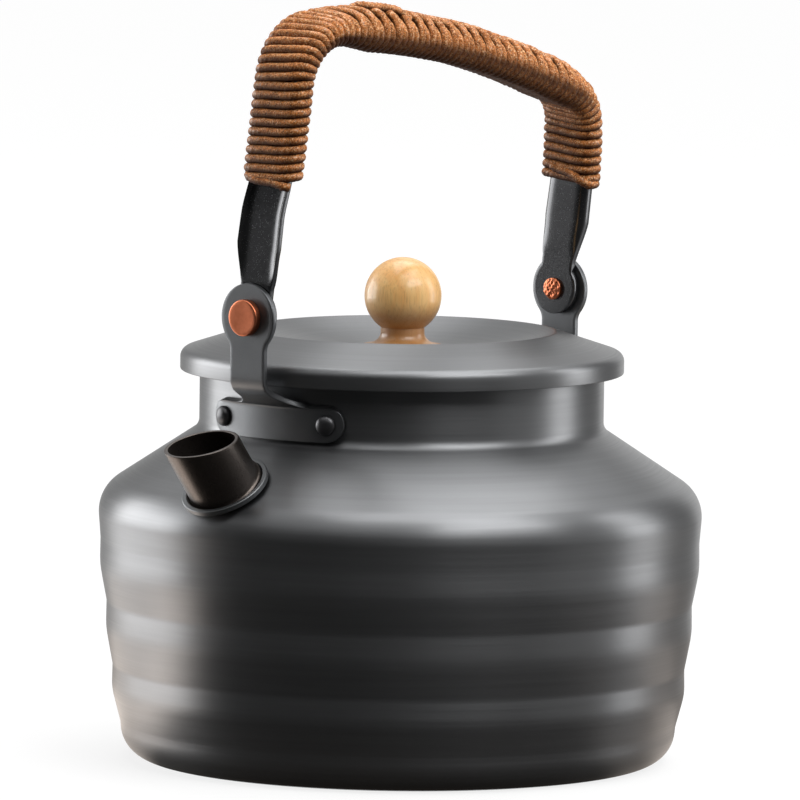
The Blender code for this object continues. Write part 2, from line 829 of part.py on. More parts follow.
def build_kettle():
    """Make every piece and put it in its place."""
    for old in list(bpy.data.objects):
        bpy.data.objects.remove(old, do_unlink=True)
    anodised = material("anodised_aluminium", (0.085, 0.087, 0.09), 0.85, 0.38)
    bracket_grey = material("bracket_aluminium", (0.07, 0.072, 0.075), 0.8, 0.45)
    spout_brown = material("spout_aluminium", (0.06, 0.055, 0.052), 0.8, 0.4)
    copper = material("copper", (0.72, 0.32, 0.18), 1.0, 0.35)
    dark_rivet = material("rivet_aluminium", (0.05, 0.05, 0.052), 0.8, 0.35)
    steel = material("steel", (0.55, 0.56, 0.57), 1.0, 0.3)
    wood = material("lacquered_wood", (0.62, 0.4, 0.22), 0.0, 0.3)
    cord = material("waxed_cord", (0.3, 0.14, 0.065), 0.0, 0.7)

    body = add_object("body_shell", make_body(), anodised)
    add_spout(body, spout_brown)
    hinge = (0, -hinge_shift, pivot_height)
    strap_holes = []
    for end, turn, shift in (("front", pi, hinge_shift), ("rear", 0, -hinge_shift)):
        pivot_guide = add_cutter(end + "_pivot_hole_guide", make_pivot_hole())
        strap_holes.append(place(pivot_guide, hinge, (0, pi / 2, turn)))
        bracket = add_object(end + "_bracket", make_bracket(shift), bracket_grey)
        cut(place(bracket, turn=(0, 0, turn)), pivot_guide)
        for side, spread in (("left", -rivet_spread), ("right", rivet_spread)):
            centre = (0, 0, band_bottom + band_width / 2)
            aim = (0, pi / 2, turn + spread + shift / neck_radius)
            guide = add_cutter(end + "_" + side + "_rivet_hole_guide", make_rivet_hole())
            place(guide, centre, aim)
            cut(body, guide)
            cut(bracket, guide)
            rivet = add_object(end + "_band_rivet_" + side, make_band_rivet(), dark_rivet)
            place(rivet, centre, aim)
        pivot = add_object(end + "_pivot_rivet", make_pivot_rivet(), copper)
        place(pivot, hinge, (0, pi / 2, turn))

    bail_axis = bpy.data.objects.new("bail_axis", None)
    bpy.context.scene.collection.objects.link(bail_axis)
    place(bail_axis, hinge, (bail_lean, 0, 0))
    strap = place(add_object("bail_strap", make_strap(), bracket_grey), parent=bail_axis)
    for guide in strap_holes:
        cut(strap, guide)
    front, bar, rear = cord_spans()
    for name, span, turns, width, spine in (
            ("front_leg_winding", front, front_turns, turn_width, 0),
            ("bar_winding", bar, bar_turns, bar_turn_width, bar_spine_rise),
            ("rear_leg_winding", rear, rear_turns, turn_width, 0)):
        maker = make_winding(name, *span, turns, width, spine)
        place(add_object(name, maker, cord), parent=bail_axis)

    lid_axis = bpy.data.objects.new("lid_axis", None)
    bpy.context.scene.collection.objects.link(lid_axis)
    for name, maker, finish in (("lid_shell", make_lid(), anodised),
                                ("lid_collar", make_collar(), anodised),
                                ("knob", make_knob(), wood),
                                ("knob_screw", make_knob_screw(), steel),
                                ("knob_washer", make_knob_washer(), steel)):
        place(add_object(name, maker, finish), parent=lid_axis)


def add_spout(body, finish):
    """Spout, its flange on the shoulder, the lock ring inside, and the hole between them."""
    spot, tilt = spout_place()
    square = (0, -shoulder_slope, 0)
    spigot_guide = add_cutter("spigot_hole_guide", make_bore_guide(spout_spigot_radius + hole_gap))
    foot_guide = add_cutter("spout_foot_guide", make_bore_guide(spout_foot_radius + hole_gap))
    for guide in (spigot_guide, foot_guide):
        place(guide, spot, tilt)
    cut(body, spigot_guide)
    place(add_object("spout_tube", make_spout(), finish), spot, tilt)
    flange = place(add_object("spout_flange", make_spout_flange(), finish), spot, square)
    cut(flange, add_cutter("shoulder_guide", body_guide(-seat_gap)))
    cut(flange, foot_guide)
    ring = place(add_object("spout_lock_ring", make_lock_ring(), finish), spot, square)
    cut(ring, add_cutter("shoulder_inner_guide", body_guide(body_wall + seat_gap)), "INTERSECT")
    cut(ring, spigot_guide)


build_kettle()
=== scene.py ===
"""Studio scene of a camp kettle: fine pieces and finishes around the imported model."""

from math import acos, asin, atan2, cos, exp, hypot, pi, radians, sin, sqrt, tan
from random import Random

import bmesh
import bpy
from mathutils import Matrix, Vector, noise


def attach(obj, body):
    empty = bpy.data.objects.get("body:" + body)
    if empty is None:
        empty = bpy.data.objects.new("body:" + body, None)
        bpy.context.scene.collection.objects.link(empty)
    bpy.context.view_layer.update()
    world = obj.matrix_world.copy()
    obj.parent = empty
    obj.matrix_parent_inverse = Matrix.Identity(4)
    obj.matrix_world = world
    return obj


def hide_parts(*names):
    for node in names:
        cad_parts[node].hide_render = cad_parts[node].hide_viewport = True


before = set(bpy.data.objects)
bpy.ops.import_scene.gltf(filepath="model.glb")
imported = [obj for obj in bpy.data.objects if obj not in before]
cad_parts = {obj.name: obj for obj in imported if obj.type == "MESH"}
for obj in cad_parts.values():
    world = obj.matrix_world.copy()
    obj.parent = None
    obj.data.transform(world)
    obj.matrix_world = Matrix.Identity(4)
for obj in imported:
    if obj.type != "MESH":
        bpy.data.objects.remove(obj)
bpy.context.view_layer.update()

mm = 0.001

# Studio, in metres
room_light = 0.1
floor_half = 30.0
floor_glow_near = 0.82
floor_glow_far = 0.96
floor_glow_start = 0.15
floor_glow_end = 1.6
hanging_height = 1.0

# Glowing sheet seen only in reflections, with painted reflections of a studio's cloth, in metres. Its
# levels are (bearing, far off, on the table, at the kettle's foot)
glow_sheet_lift = 0.5 * mm
foot_reach = 0.092
foot_blend = 0.004
table_reach = 0.26
table_blend_in = 0.02
table_blend_out = 0.03
screen_reach = 3.2
screen_height = 2.2
glow_sheet_columns = 120
table_warmth = (1.1, 0.97, 0.87)
reflection_glow_levels = [(-180, 0.7, 0.7, 0.8), (-165, 0.4, 0.4, 0.8), (-146, 0.4, 0.4, 0.8),
                (-130, 1.9, 1.4, 0.8), (-98, 1.9, 1.6, 0.8), (-88, 0.03, 2.8, 0.8),
                (-80, 0.01, 2.4, 0.7), (-64, 0.01, 0.02, 0.05), (-22, 0.01, 0.01, 0.04),
                (-8, 0.035, 0.01, 0.04), (13, 0.035, 0.01, 0.04), (28, 0.1, 0.035, 0.04),
                (48, 0.1, 0.035, 0.05), (64, 0.45, 0.12, 0.3), (86, 0.45, 0.14, 0.8),
                (91, 0.95, 0.8, 0.8), (111, 0.95, 0.8, 0.8), (120, 0.3, 0.25, 0.8),
                (144, 0.3, 0.25, 0.8), (156, 0.9, 0.8, 0.8), (180, 0.7, 0.7, 0.8)]

# Camera, in metres and in millimetres of its sensor, as the photograph was taken
camera_bearing = radians(-49.6)
camera_distance = 2.9
camera_height = 0.38835
camera_pitch = radians(5.767)
camera_yaw = radians(-0.009)
camera_roll = radians(0.7135)
camera_lens = 495.8
camera_sensor = 36.0

# Body
body_wall = 1.2 * mm
base_corner_reach = 72.8 * mm
base_corner_radius = 8.8 * mm
crease_heights = [9.6 * mm, 24.8 * mm, 41.8 * mm, 58.4 * mm]
crease_radii = [73.6 * mm, 75.8 * mm, 77.55 * mm, 79.3 * mm]
band_edge = 0.42
band_edge_round = 0.12
band_swell = 0.05
band_steps = 24
crease_softness = 0.2 * mm
crown_reach = 80.3 * mm
crown_height = 70.8 * mm
crown_radius = 10.5 * mm
shoulder_slope = radians(33.4)
neck_radius = 53.5 * mm
neck_fillet = 3.5 * mm
neck_foot = crown_height + (crown_reach - neck_radius) * tan(shoulder_slope)
neck_top = neck_foot + 19.93 * mm
bead_radius = 1.5 * mm

# Edges with a sharper turn than this stay crisp, in degrees
sheet_crisp = 30
part_crisp = 40
hammered_crisp = 35
cord_crisp = 60

# Lid and knob
seat_gap = 0.3 * mm
lid_wall = 1.2 * mm
lid_rim_radius = 58.7 * mm
lid_rim_drop = 5.0 * mm
lid_rim_round = 2.5 * mm
lid_lip_lift = 0.35 * mm
lid_slope = radians(18)
ridge_radius = 40.6 * mm
ridge_round = 2.0 * mm
dish_depth = 5.0 * mm
dish_floor_radius = 11.5 * mm
knob_ball_radius = 10.2 * mm
knob_height = 23.8 * mm
knob_neck_radius = 5.8 * mm
knob_foot_radius = 10.4 * mm
knob_foot_edge = 0.7 * mm
knob_flare = 3.1 * mm
knob_hole_radius = 2.6 * mm
knob_hole_depth = 10.3 * mm
knob_foot_chamfer = 0.3 * mm
knob_foot_side = 0.25 * mm

# Spout
spout_distance = 70.9 * mm
spout_turn = radians(0.8)
spout_tilt = radians(39)
spout_mouth_tilt = radians(16)
spout_length = 16.4 * mm
spout_foot_radius = 10.3 * mm
spout_mouth_radius = 9.5 * mm
spout_wall = 1.0 * mm
spout_spigot_radius = 8.6 * mm
spout_spigot_depth = 4.6 * mm
spout_bore_half = 12 * mm
spout_seat = 0.3 * mm
spout_foot_top = 1.7 * mm
spout_flare = 0.75 * mm
spout_flare_height = 1.0 * mm
spout_lip_round = 0.22 * mm
flange_radius = 11.8 * mm
flange_thickness = 1.5 * mm
flange_gap = 0.12 * mm
lock_ring_width = 2.0 * mm
lock_ring_height = 1.8 * mm
lock_ring_gap = 0.5 * mm

# Brackets and rivets
pivot_height = 122.0 * mm
hinge_shift = 1.5 * mm
bracket_plate = 1.5 * mm
plate_edge = 0.22 * mm
section_columns = 16
blank_end_angle = 0.03
bracket_disc_radius = 9.0 * mm
bracket_disc_blend = 4.0 * mm
bracket_neck_width = 11.6 * mm
bracket_disc_drop = 0.6 * mm
bracket_fillet = 7.5 * mm
band_bottom = 89.2 * mm
band_width = 9.7 * mm
band_length = 43.4 * mm
joggle_rise = 4.6 * mm
joggle_bend = 2.6 * mm
rivet_spread = radians(18)
rivet_height = 93.8 * mm
rivet_dome_radius = 2.7 * mm
rivet_dome_height = 1.5 * mm
rivet_dome_edge = 0.35 * mm
rivet_shank_radius = 1.5 * mm
rivet_tail_radius = 2.4 * mm
rivet_tail_height = 1.0 * mm
rivet_tail_flat = 1.9 * mm
rivet_tail_side = 0.6 * mm
rivet_head_gap = 0.1 * mm
pivot_drop = 0.5 * mm
pivot_shank_radius = 2.3 * mm
pivot_head_radius = 4.8 * mm
pivot_head_height = 2.0 * mm
pivot_head_edge = 0.45 * mm
pivot_head_hollow = 0.05 * mm
pivot_tail_radius = 2.95 * mm
pivot_tail_height = 1.0 * mm
pivot_tail_gap = 0.15 * mm
pivot_head_gap = 0.12 * mm
hammer_scale = 1150
hammer_depth = 0.476 * mm

# Bail strap
strap_thickness = 1.8 * mm
strap_rise = 1.4 * mm
strap_edge = 0.25 * mm
channel_power = 9
kink_power = 0.8
strap_width = 13.0 * mm
strap_kink_width = 13.8 * mm
strap_kink_height = 18.6 * mm
strap_plain_height = 36.0 * mm
eye_radius = 7.25 * mm
eye_neck_width = 10.4 * mm
eye_neck_height = 8.0 * mm
leg_distance = 60.5 * mm
bar_crest_place = -67.7 * mm
bar_crest_height = 74.2 * mm
bar_radius = 364.0 * mm
front_corner_radius = 11.4 * mm
rear_corner_radius = 10.4 * mm
bail_lean = radians(8.0)
front_leg_draw = 1.7 * mm
front_draw_start = 26 * mm
front_draw_run = 12 * mm
rear_leg_draw = 2.1 * mm
rear_draw_start = 28 * mm
rear_draw_run = 24 * mm

# Cord
cord_radius = 1.22 * mm
cord_sides = 14
cord_plies = 3
cord_twist_run = 4.4 * mm
front_cord_start = 35.2 * mm
rear_cord_start = 29.1 * mm
cord_pitch = 2.42 * mm
front_corner_closing = 0.62 * mm
front_closing_lead = 3 * mm
front_closing_full = 0.5 * mm
rear_corner_closing = 0.5 * mm
rear_closing_full = 4 * mm
rear_leg_lead = 2 * mm
leg_jitter = 0.12 * mm
bar_jitter = 0.2 * mm
turn_points = 104
strand_points = 36
strap_clearance = 0.1 * mm
slant_lead = 5 * mm
slant_grow = 17 * mm
slant_stop = 2 * mm
slant_fade = 18 * mm
bar_swell = 1.8 * mm
bar_swell_grow = 14 * mm
bar_flat = 0.9 * mm
bar_crest_raise = 0.45 * mm
pair_raise = 0.45 * mm
pair_shift = 0.65 * mm
crest_phase = 0.17
crest_spread = 0.13
outer_face_phase = 0.11
front_leg_slant = 1.0 * mm
front_slant_end = 6 * mm
front_slant_fade = 14 * mm

# How squarely the cord follows the strap's section across and outwards: 1 is an oval
leg_across_power = 0.5
bar_across_power = 0.8
leg_rise_power = 0.62
bar_rise_power = 0.88

# Surface of the cord
lobe_depth = 0.055
fuzz_scale = 900
fuzz_depth = 0.05
wave_scale = 170
wave_depth = 0.07
cord_squash = 0.06
# Painted shade in the valleys between turns: where it starts round the cord, how fast it deepens, and
# its most
valley_shade_start = 0.23
valley_shade_slope = 2.4
valley_shade_most = 0.95
yarn_run_scale = 260
yarn_turn_scale = 1.3
# Painted shade on the cord's lower side grows towards the rear: where it starts to grow, and over what
# run
shade_rear_place = -20 * mm
shade_rear_run = 75 * mm

# Shift of a slanted turn along the bar by its phase round the strap: (phase, shift)
slant_stops = [(0.0, -0.8 * mm), (0.2, 0.6 * mm), (0.36, 0.9 * mm), (0.5, -0.5 * mm),
               (0.72, -1.4 * mm), (1.0, -0.8 * mm)]

chance = Random(7)


def around(bearing, distance, height):
    """Point at a bearing from the camera's own side, in degrees to the right."""
    a = camera_bearing + radians(bearing)
    return Vector((sin(a) * distance, -cos(a) * distance, height))


# Studio lights: name, place, size and level seen in a mirror
studio_lights = [("left_softbox", around(-110, 0.8, 0.22), (0.66, 0.43), 3.9),
                 ("right_strip", around(99, 0.50, 0.24), (0.16, 0.48), 3.4),
                 ("overhead", around(133, 0.18, 1.1), (0.9, 1.4), 3.2),
                 ("front_top", around(42, 0.9, 0.95), (0.9, 0.6), 6.0)]


class Signal:
    """A number that varies over a surface. Sums, products and powers of it become nodes."""

    def __init__(self, wiring, socket):
        self.wiring = wiring
        self.socket = socket

    def __add__(self, other):
        return self.wiring.math("ADD", self, other)

    def __radd__(self, other):
        return self.wiring.math("ADD", other, self)

    def __sub__(self, other):
        return self.wiring.math("SUBTRACT", self, other)

    def __rsub__(self, other):
        return self.wiring.math("SUBTRACT", other, self)

    def __mul__(self, other):
        return self.wiring.math("MULTIPLY", self, other)

    def __rmul__(self, other):
        return self.wiring.math("MULTIPLY", other, self)

    def __pow__(self, other):
        return self.wiring.math("POWER", self, other)


class Wiring:
    """The nodes of a material or of the room, and the links between them."""

    def __init__(self, owner, shader):
        owner.use_nodes = True
        self.tree = owner.node_tree
        self.shader = self.tree.nodes[shader]

    def set(self, socket, value):
        """Set or link one socket of the shader."""
        self.connect(self.shader.inputs[socket], rgba(value))

    def connect(self, socket, value):
        """Link a socket, or set it where the value is plain."""
        if isinstance(value, Signal):
            value = value.socket
        if isinstance(value, bpy.types.NodeSocket):
            self.tree.links.new(value, socket)
        else:
            socket.default_value = value

    def node(self, kind, settings, sockets):
        """A node with its settings made first, then the values or links of its sockets."""
        made = self.tree.nodes.new(kind)
        for key, value in settings.items():
            setattr(made, key, value)
        for key, value in sockets.items():
            self.connect(made.inputs[key], value)
        return made

    def signal(self, kind, settings, sockets, output=0):
        """The signal that a node gives."""
        return Signal(self, self.node(kind, settings, sockets).outputs[output])

    def math(self, operation, first, second):
        """A Math node on two numbers or signals."""
        return self.signal("ShaderNodeMath", {"operation": operation}, {0: first, 1: second})

    def clear_rays(self):
        """1 for what the camera sees, straight or by way of a reflection or glass, and else 0."""
        path = self.node("ShaderNodeLightPath", {}, {}).outputs
        seen = self.math("MAXIMUM", path["Is Camera Ray"], path["Is Glossy Ray"])
        return self.math("MAXIMUM", seen, path["Is Transmission Ray"])


class Finish(Wiring):
    """One material, with the few node patterns that this kettle's surfaces share."""

    def __init__(self, name, metallic):
        self.material = bpy.data.materials.new(name)
        super().__init__(self.material, "Principled BSDF")
        self.set("Metallic", metallic)
        self.place = self.node("ShaderNodeTexCoord", {}, {}).outputs["Object"]

    def mark(self, name):
        """A piece's own values of a name, as a vector."""
        return self.node("ShaderNodeAttribute", {"attribute_name": name}, {}).outputs[1]

    def stretched(self, x, y, z):
        """The place on the piece, scaled by another factor along each axis."""
        return self.node("ShaderNodeVectorMath", {"operation": "MULTIPLY"},
                         {0: self.place, 1: (x, y, z)}).outputs[0]

    def ring_place(self, across, round_scale):
        """Place in (radius, height, direction) for marks that run round the Z axis."""
        flat = self.stretched(1, 1, 0)
        radius = self.signal("ShaderNodeVectorMath", {"operation": "LENGTH"}, {0: flat}, 1)
        height = self.signal("ShaderNodeSeparateXYZ", {}, {0: self.place}, 2)
        along = self.node("ShaderNodeVectorMath", {"operation": "SCALE"},
                          {0: flat, "Scale": round_scale}).outputs[0]
        lines = self.node("ShaderNodeCombineXYZ", {}, {0: radius * across, 1: radius * across,
                                                       2: height * across}).outputs[0]
        return self.node("ShaderNodeVectorMath", {"operation": "ADD"}, {0: lines, 1: along}).outputs[0]

    def grain(self, place, scale, detail):
        """Noise from 0 to 1."""
        return self.signal("ShaderNodeTexNoise", {}, {"Vector": place, "Scale": scale,
                                                      "Detail": detail, "Roughness": 0.6})

    def ranged(self, value, low, high, start=0.3, end=0.7):
        """Stretch the middle of a noise to the range from low to high."""
        return self.signal("ShaderNodeMapRange", {"clamp": True},
                           {"Value": value, "From Min": start, "From Max": end, "To Min": low,
                            "To Max": high})

    def faded(self, value, start, end, low, high):
        """Smooth change from low to high between two values."""
        return self.signal("ShaderNodeMapRange", {"interpolation_type": "SMOOTHSTEP"},
                           {"Value": value, "From Min": start, "From Max": end, "To Min": low,
                            "To Max": high})

    def blend(self, share, first, second):
        """Colour between two colours."""
        return self.node("ShaderNodeMix", {"data_type": "RGBA"},
                         {0: share, 6: rgba(first), 7: rgba(second)}).outputs[2]

    def bump(self, height, distance, strength):
        """Feed a height into the shader's Normal."""
        sockets = {"Height": height, "Distance": distance, "Strength": strength}
        self.set("Normal", self.node("ShaderNodeBump", {}, sockets).outputs[0])


def rgba(colour):
    """A plain colour with its alpha, or the link as it is."""
    return (*colour, 1.0) if isinstance(colour, tuple) and len(colour) == 3 else colour


def spun_aluminium(name, colour, roughness, line_depth):
    """Satin hard-anodised metal with fine lines round the axis from spinning."""
    finish = Finish(name, 0.95)
    finish.set("Anisotropic", 0.68)
    finish.set("Anisotropic Rotation", 0.25)
    fine = finish.grain(finish.ring_place(2600, 9), 1.0, 4.0)
    broad = finish.grain(finish.ring_place(420, 14), 1.0, 3.0)
    cloud = finish.grain(finish.place, 22.0, 3.0)
    tone = finish.ranged(broad, 0.0, 1.0)
    dull = tuple(c * 0.94 for c in colour)
    bright = tuple(c * 1.06 for c in colour)
    finish.set("Base Color", finish.blend(tone, dull, bright))
    rough = finish.ranged(fine, roughness - 0.03, roughness + 0.03)
    finish.set("Roughness", rough + finish.ranged(cloud, -0.025, 0.025))
    finish.bump(fine * 0.7 + broad * 0.3, line_depth, 0.3)
    return finish.material


def plate_aluminium(name, colour, roughness):
    """Satin anodised plate with a fine even grain."""
    finish = Finish(name, 0.9)
    grain = finish.grain(finish.place, 2400.0, 2.0)
    cloud = finish.grain(finish.place, 60.0, 3.0)
    dull = tuple(c * 0.9 for c in colour)
    bright = tuple(c * 1.1 for c in colour)
    finish.set("Base Color", finish.blend(finish.ranged(cloud, 0.0, 1.0), dull, bright))
    finish.set("Roughness", finish.ranged(grain, roughness - 0.05, roughness + 0.06))
    finish.bump(grain, 0.012 * mm, 0.3)
    return finish.material


def worked_copper():
    """Copper with a satin face and slight heat stains."""
    finish = Finish("satin_copper", 1.0)
    cloud = finish.grain(finish.place, 260.0, 4.0)
    fine = finish.grain(finish.place, 1900.0, 2.0)
    tint_share = finish.ranged(cloud, 0.0, 1.0)
    finish.set("Base Color", finish.blend(tint_share, (0.38, 0.11, 0.05), (0.56, 0.18, 0.09)))
    finish.set("Roughness", finish.ranged(fine, 0.28, 0.42))
    finish.bump(fine, 0.01 * mm, 0.5)
    return finish.material


def lacquered_wood():
    """Pale turned wood under a clear lacquer, its grain running up the knob, with shade painted into
    its lower half towards the foot.
    """
    finish = Finish("glossy_turned_wood", 0.0)
    height = finish.signal("ShaderNodeSeparateXYZ", {}, {0: finish.place}, 2)
    bend = finish.grain(finish.stretched(1.0, 1.0, 0.25), 120.0, 2.0)
    growth = finish.grain(finish.stretched(1.0, 0.35, 0.07), 620.0, 3.0)
    pores = finish.grain(finish.stretched(1.0, 1.0, 0.06), 2600.0, 2.0)
    band = finish.ranged(growth * 0.75 + bend * 0.25, 0.0, 1.0)
    base = finish.blend(band, (0.92, 0.45, 0.13), (1.0, 0.66, 0.27))
    flecks = finish.ranged(pores, 0.0, 1.0) ** 3.0
    turned_wood = finish.blend(flecks * 0.4, base, (0.4, 0.18, 0.055))
    # Painted shade: the colour darkens from the middle of the ball down towards the foot
    tint_share = finish.faded(height, knob_middle() - 0.05 * knob_ball_radius,
                         knob_middle() - 0.65 * knob_ball_radius, 0.0, 0.7)
    finish.set("Base Color", finish.blend(tint_share, turned_wood, (0.25, 0.085, 0.022)))
    finish.set("Roughness", finish.ranged(pores, 0.36, 0.5))
    finish.set("Coat Weight", 0.45)
    finish.set("Coat Roughness", 0.12)
    finish.bump(pores, 0.02 * mm, 0.25)
    return finish.material


def waxed_cord():
    """Brown twisted cord with wax on its high places, and shade painted into its colour in the valleys
    between its turns and on its lower side.
    """
    finish = Finish("waxed_brown_cord", 0.0)
    depth = finish.signal("ShaderNodeAttribute", {"attribute_name": "valley_shade"}, {}, 2)
    yarn_and_shade = finish.mark("yarn_and_shade")
    along = finish.node("ShaderNodeVectorMath", {"operation": "MULTIPLY"},
                        {0: yarn_and_shade, 1: (1, 1, 0)}).outputs[0]
    # Painted shade on the cord's lower side, carried in the mark's third value
    under = finish.signal("ShaderNodeSeparateXYZ", {}, {0: yarn_and_shade}, 2)
    mottle = finish.grain(finish.place, 420.0, 3.0)
    fibre = finish.grain(along, 1.0, 3.0)
    speck = finish.grain(finish.place, 2300.0, 2.0)
    pit = finish.grain(finish.stretched(1.3, 1.3, 1.3), 2000.0, 2.0)
    tone = finish.ranged(mottle * 0.4 + fibre * 0.6, 0.0, 1.0, 0.36, 0.62)
    brown = finish.blend(tone, (0.2, 0.056, 0.014), (0.84, 0.3, 0.075))
    dusted = finish.blend(finish.ranged(speck, 0.0, 0.75, 0.52, 0.64), brown, (1.0, 0.64, 0.33))
    pitted = finish.blend(finish.ranged(pit, 0.0, 0.85, 0.52, 0.64), dusted, (0.06, 0.015, 0.005))
    # Painted shade below the bar and on the lower side of the legs' turns
    shaded_below = finish.blend(under * 0.95, pitted, (0.035, 0.009, 0.003))
    # Painted shade in the valleys between turns
    finish.set("Base Color", finish.blend(depth, shaded_below, (0.015, 0.005, 0.002)))
    finish.set("Roughness", finish.ranged(speck, 0.42, 0.68))
    finish.set("Specular IOR Level", 0.14)
    waxed = finish.ranged(mottle * 0.5 + speck * 0.5, 0.0, 0.9, 0.46, 0.6)
    finish.set("Coat Weight", (1 - depth) * (1 - under) * waxed)
    finish.set("Coat Roughness", 0.24)
    finish.bump(fibre * 0.7 + speck * 0.3, 0.24 * mm, 0.9)
    return finish.material


def plain_steel():
    """Machined steel of the screw and washer."""
    finish = Finish("machined_steel", 1.0)
    finish.set("Base Color", (0.5, 0.5, 0.52))
    lines = finish.grain(finish.ring_place(3000, 60), 1.0, 3.0)
    finish.set("Roughness", finish.ranged(lines, 0.24, 0.4))
    finish.bump(lines, 0.01 * mm, 0.5)
    return finish.material


def shoulder_z(radius):
    """Height of the outer face of the sloping shoulder."""
    return crown_height + (crown_reach - radius) * tan(shoulder_slope)


def ease(t):
    """Smooth step from 0 to 1."""
    t = min(max(t, 0.0), 1.0)
    return t * t * (3 - 2 * t)


def arc(centre, radius, start, end, steps):
    """Points on an arc, both ends included."""
    turns = [start + (end - start) * i / steps for i in range(steps + 1)]
    return [(centre[0] + radius * cos(a), centre[1] + radius * sin(a)) for a in turns]


def rounded(corners, steps):
    """Replace each (x, y, radius) corner of an open line by an arc that meets both sides."""
    line = [corners[0][:2]]
    for before, corner, after in zip(corners, corners[1:], corners[2:]):
        here = Vector(corner[:2])
        back = (Vector(before[:2]) - here).normalized()
        ahead = (Vector(after[:2]) - here).normalized()
        half = back.angle(ahead) / 2
        radius = corner[2]
        start = here + back * (radius / tan(half))
        centre = here + (back + ahead).normalized() * (radius / sin(half))
        first = start - centre
        turn = pi - 2 * half
        side = 1 if back.x * ahead.y - back.y * ahead.x < 0 else -1
        for i in range(steps + 1):
            a = side * turn * i / steps
            line.append((centre.x + first.x * cos(a) - first.y * sin(a),
                         centre.y + first.x * sin(a) + first.y * cos(a)))
    line.append(corners[-1][:2])
    return line


def offset(line, distance):
    """Shift an open line sideways, to its left, with mitred corners."""
    shifted = []
    for i, point in enumerate(line):
        sides = []
        for a, b in ((i - 1, i), (i, i + 1)):
            if 0 <= a and b < len(line):
                run = (Vector(line[b]) - Vector(line[a])).normalized()
                sides.append(Vector((-run.y, run.x)))
        mean = sum(sides, Vector((0, 0))).normalized()
        shifted.append(tuple(Vector(point) + mean * (distance / mean.dot(sides[0]))))
    return shifted


def mesh_object(name, maker):
    """Turn a filled bmesh into an object of the scene."""
    bmesh.ops.recalc_face_normals(maker, faces=maker.faces)
    mesh = bpy.data.meshes.new(name)
    maker.to_mesh(mesh)
    maker.free()
    made = bpy.data.objects.new(name, mesh)
    bpy.context.scene.collection.objects.link(made)
    return made


def add_piece(name, maker, material, body, nodes, sharp=sheet_crisp):
    """Turn a filled bmesh into a smooth piece that rides on a body and stands for CAD nodes."""
    piece = mesh_object(name, maker)
    piece.data.shade_smooth()
    piece.data.set_sharp_from_angle(angle=radians(sharp))
    piece.data.materials.append(material)
    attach(piece, body)
    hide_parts(*nodes)
    return piece


def turned(outline, segments):
    """Spin an outline of (radius, height) points about Z. Points on the axis close the shape."""
    maker = bmesh.new()
    turns = [2 * pi * i / segments for i in range(segments)]
    rings = []
    for r, z in outline:
        if r == 0:
            rings.append([maker.verts.new((0, 0, z))])
        else:
            rings.append([maker.verts.new((r * cos(a), r * sin(a), z)) for a in turns])
    pairs = list(zip(rings, rings[1:]))
    if len(rings[0]) > 1 or len(rings[-1]) > 1:
        pairs.append((rings[-1], rings[0]))
    for low, high in pairs:
        for i in range(segments):
            j = (i + 1) % segments
            corners = [low[i % len(low)], low[j % len(low)],
                       high[j % len(high)], high[i % len(high)]]
            face = [v for k, v in enumerate(corners) if v not in corners[:k]]
            if len(face) > 2:
                maker.faces.new(face)
    return maker


def skin(maker, rows):
    """Faces between rows of corners that each close into a ring, and a cap on both ends."""
    count = len(rows[0])
    for low, high in zip(rows, rows[1:]):
        for i in range(count):
            j = (i + 1) % count
            maker.faces.new((low[i], low[j], high[j], high[i]))
    maker.faces.new(rows[0][::-1])
    maker.faces.new(rows[-1])


def loft(rings):
    """Closed solid through a row of rings of points."""
    maker = bmesh.new()
    skin(maker, [[maker.verts.new(point) for point in ring] for ring in rings])
    return maker


def set_place(maker, matrix):
    """Move a bmesh to its place."""
    bmesh.ops.transform(maker, matrix=matrix, verts=maker.verts)
    return maker


def band_draw(down):
    """Share of a band's step inwards: upright above its edge, then sloping to the next crease."""
    slope = 1 / (1 - band_edge)
    past = down - band_edge
    if abs(past) < band_edge_round:
        draw = slope * (past + band_edge_round) ** 2 / (4 * band_edge_round)
    else:
        draw = max(past, 0) * slope
    return draw - band_swell * sin(pi * down)


def body_side():
    """Outer line of the body from the middle of the base up to the neck."""
    base = rounded([(0, 0), (base_corner_reach, 0, base_corner_radius),
                    (crease_radii[0], crease_heights[0])], 14)
    line = base[:-1]
    for low in range(len(crease_radii) - 1):
        r0, r1 = crease_radii[low], crease_radii[low + 1]
        z0, z1 = crease_heights[low], crease_heights[low + 1]
        for i in range(band_steps):
            down = 1 - i / band_steps
            draw = band_draw(down)
            line.append((r1 + (r0 - r1) * draw, z1 + (z0 - z1) * down))
    line += rounded([(crease_radii[-1], crease_heights[-1]),
                     (crown_reach, crown_height, crown_radius),
                     (neck_radius, neck_foot, neck_fillet),
                     (neck_radius, neck_top - 2 * bead_radius)], 18)[:-1]
    return line


def make_body(metal):
    """Body shell with its soft creases, rolled bead and the hole that the spout stands over."""
    side = soften(body_side(), crease_softness)
    bead = bead_centre()
    rim = arc(bead, bead_radius, -acos((neck_radius - bead[0]) / bead_radius), pi, 14)
    inside = offset(side, body_wall)
    inside[0] = (0, body_wall)
    maker = turned(side + rim + inside[::-1], 240)
    body = add_piece("spun_body", maker, metal, "kettle", ["body_shell"])
    bore = [(0, -spout_bore_half), (spout_spigot_radius, -spout_bore_half),
            (spout_spigot_radius, spout_bore_half), (0, spout_bore_half)]
    bore_maker = set_place(turned(bore, 64), spout_matrix(spout_tilt))
    cutter = mesh_object("spout_bore_guide", bore_maker)
    cut = body.modifiers.new("spout_hole", "BOOLEAN")
    cut.object = cutter
    cut.solver = "EXACT"
    apply_modifiers(body)
    bpy.data.objects.remove(cutter, do_unlink=True)


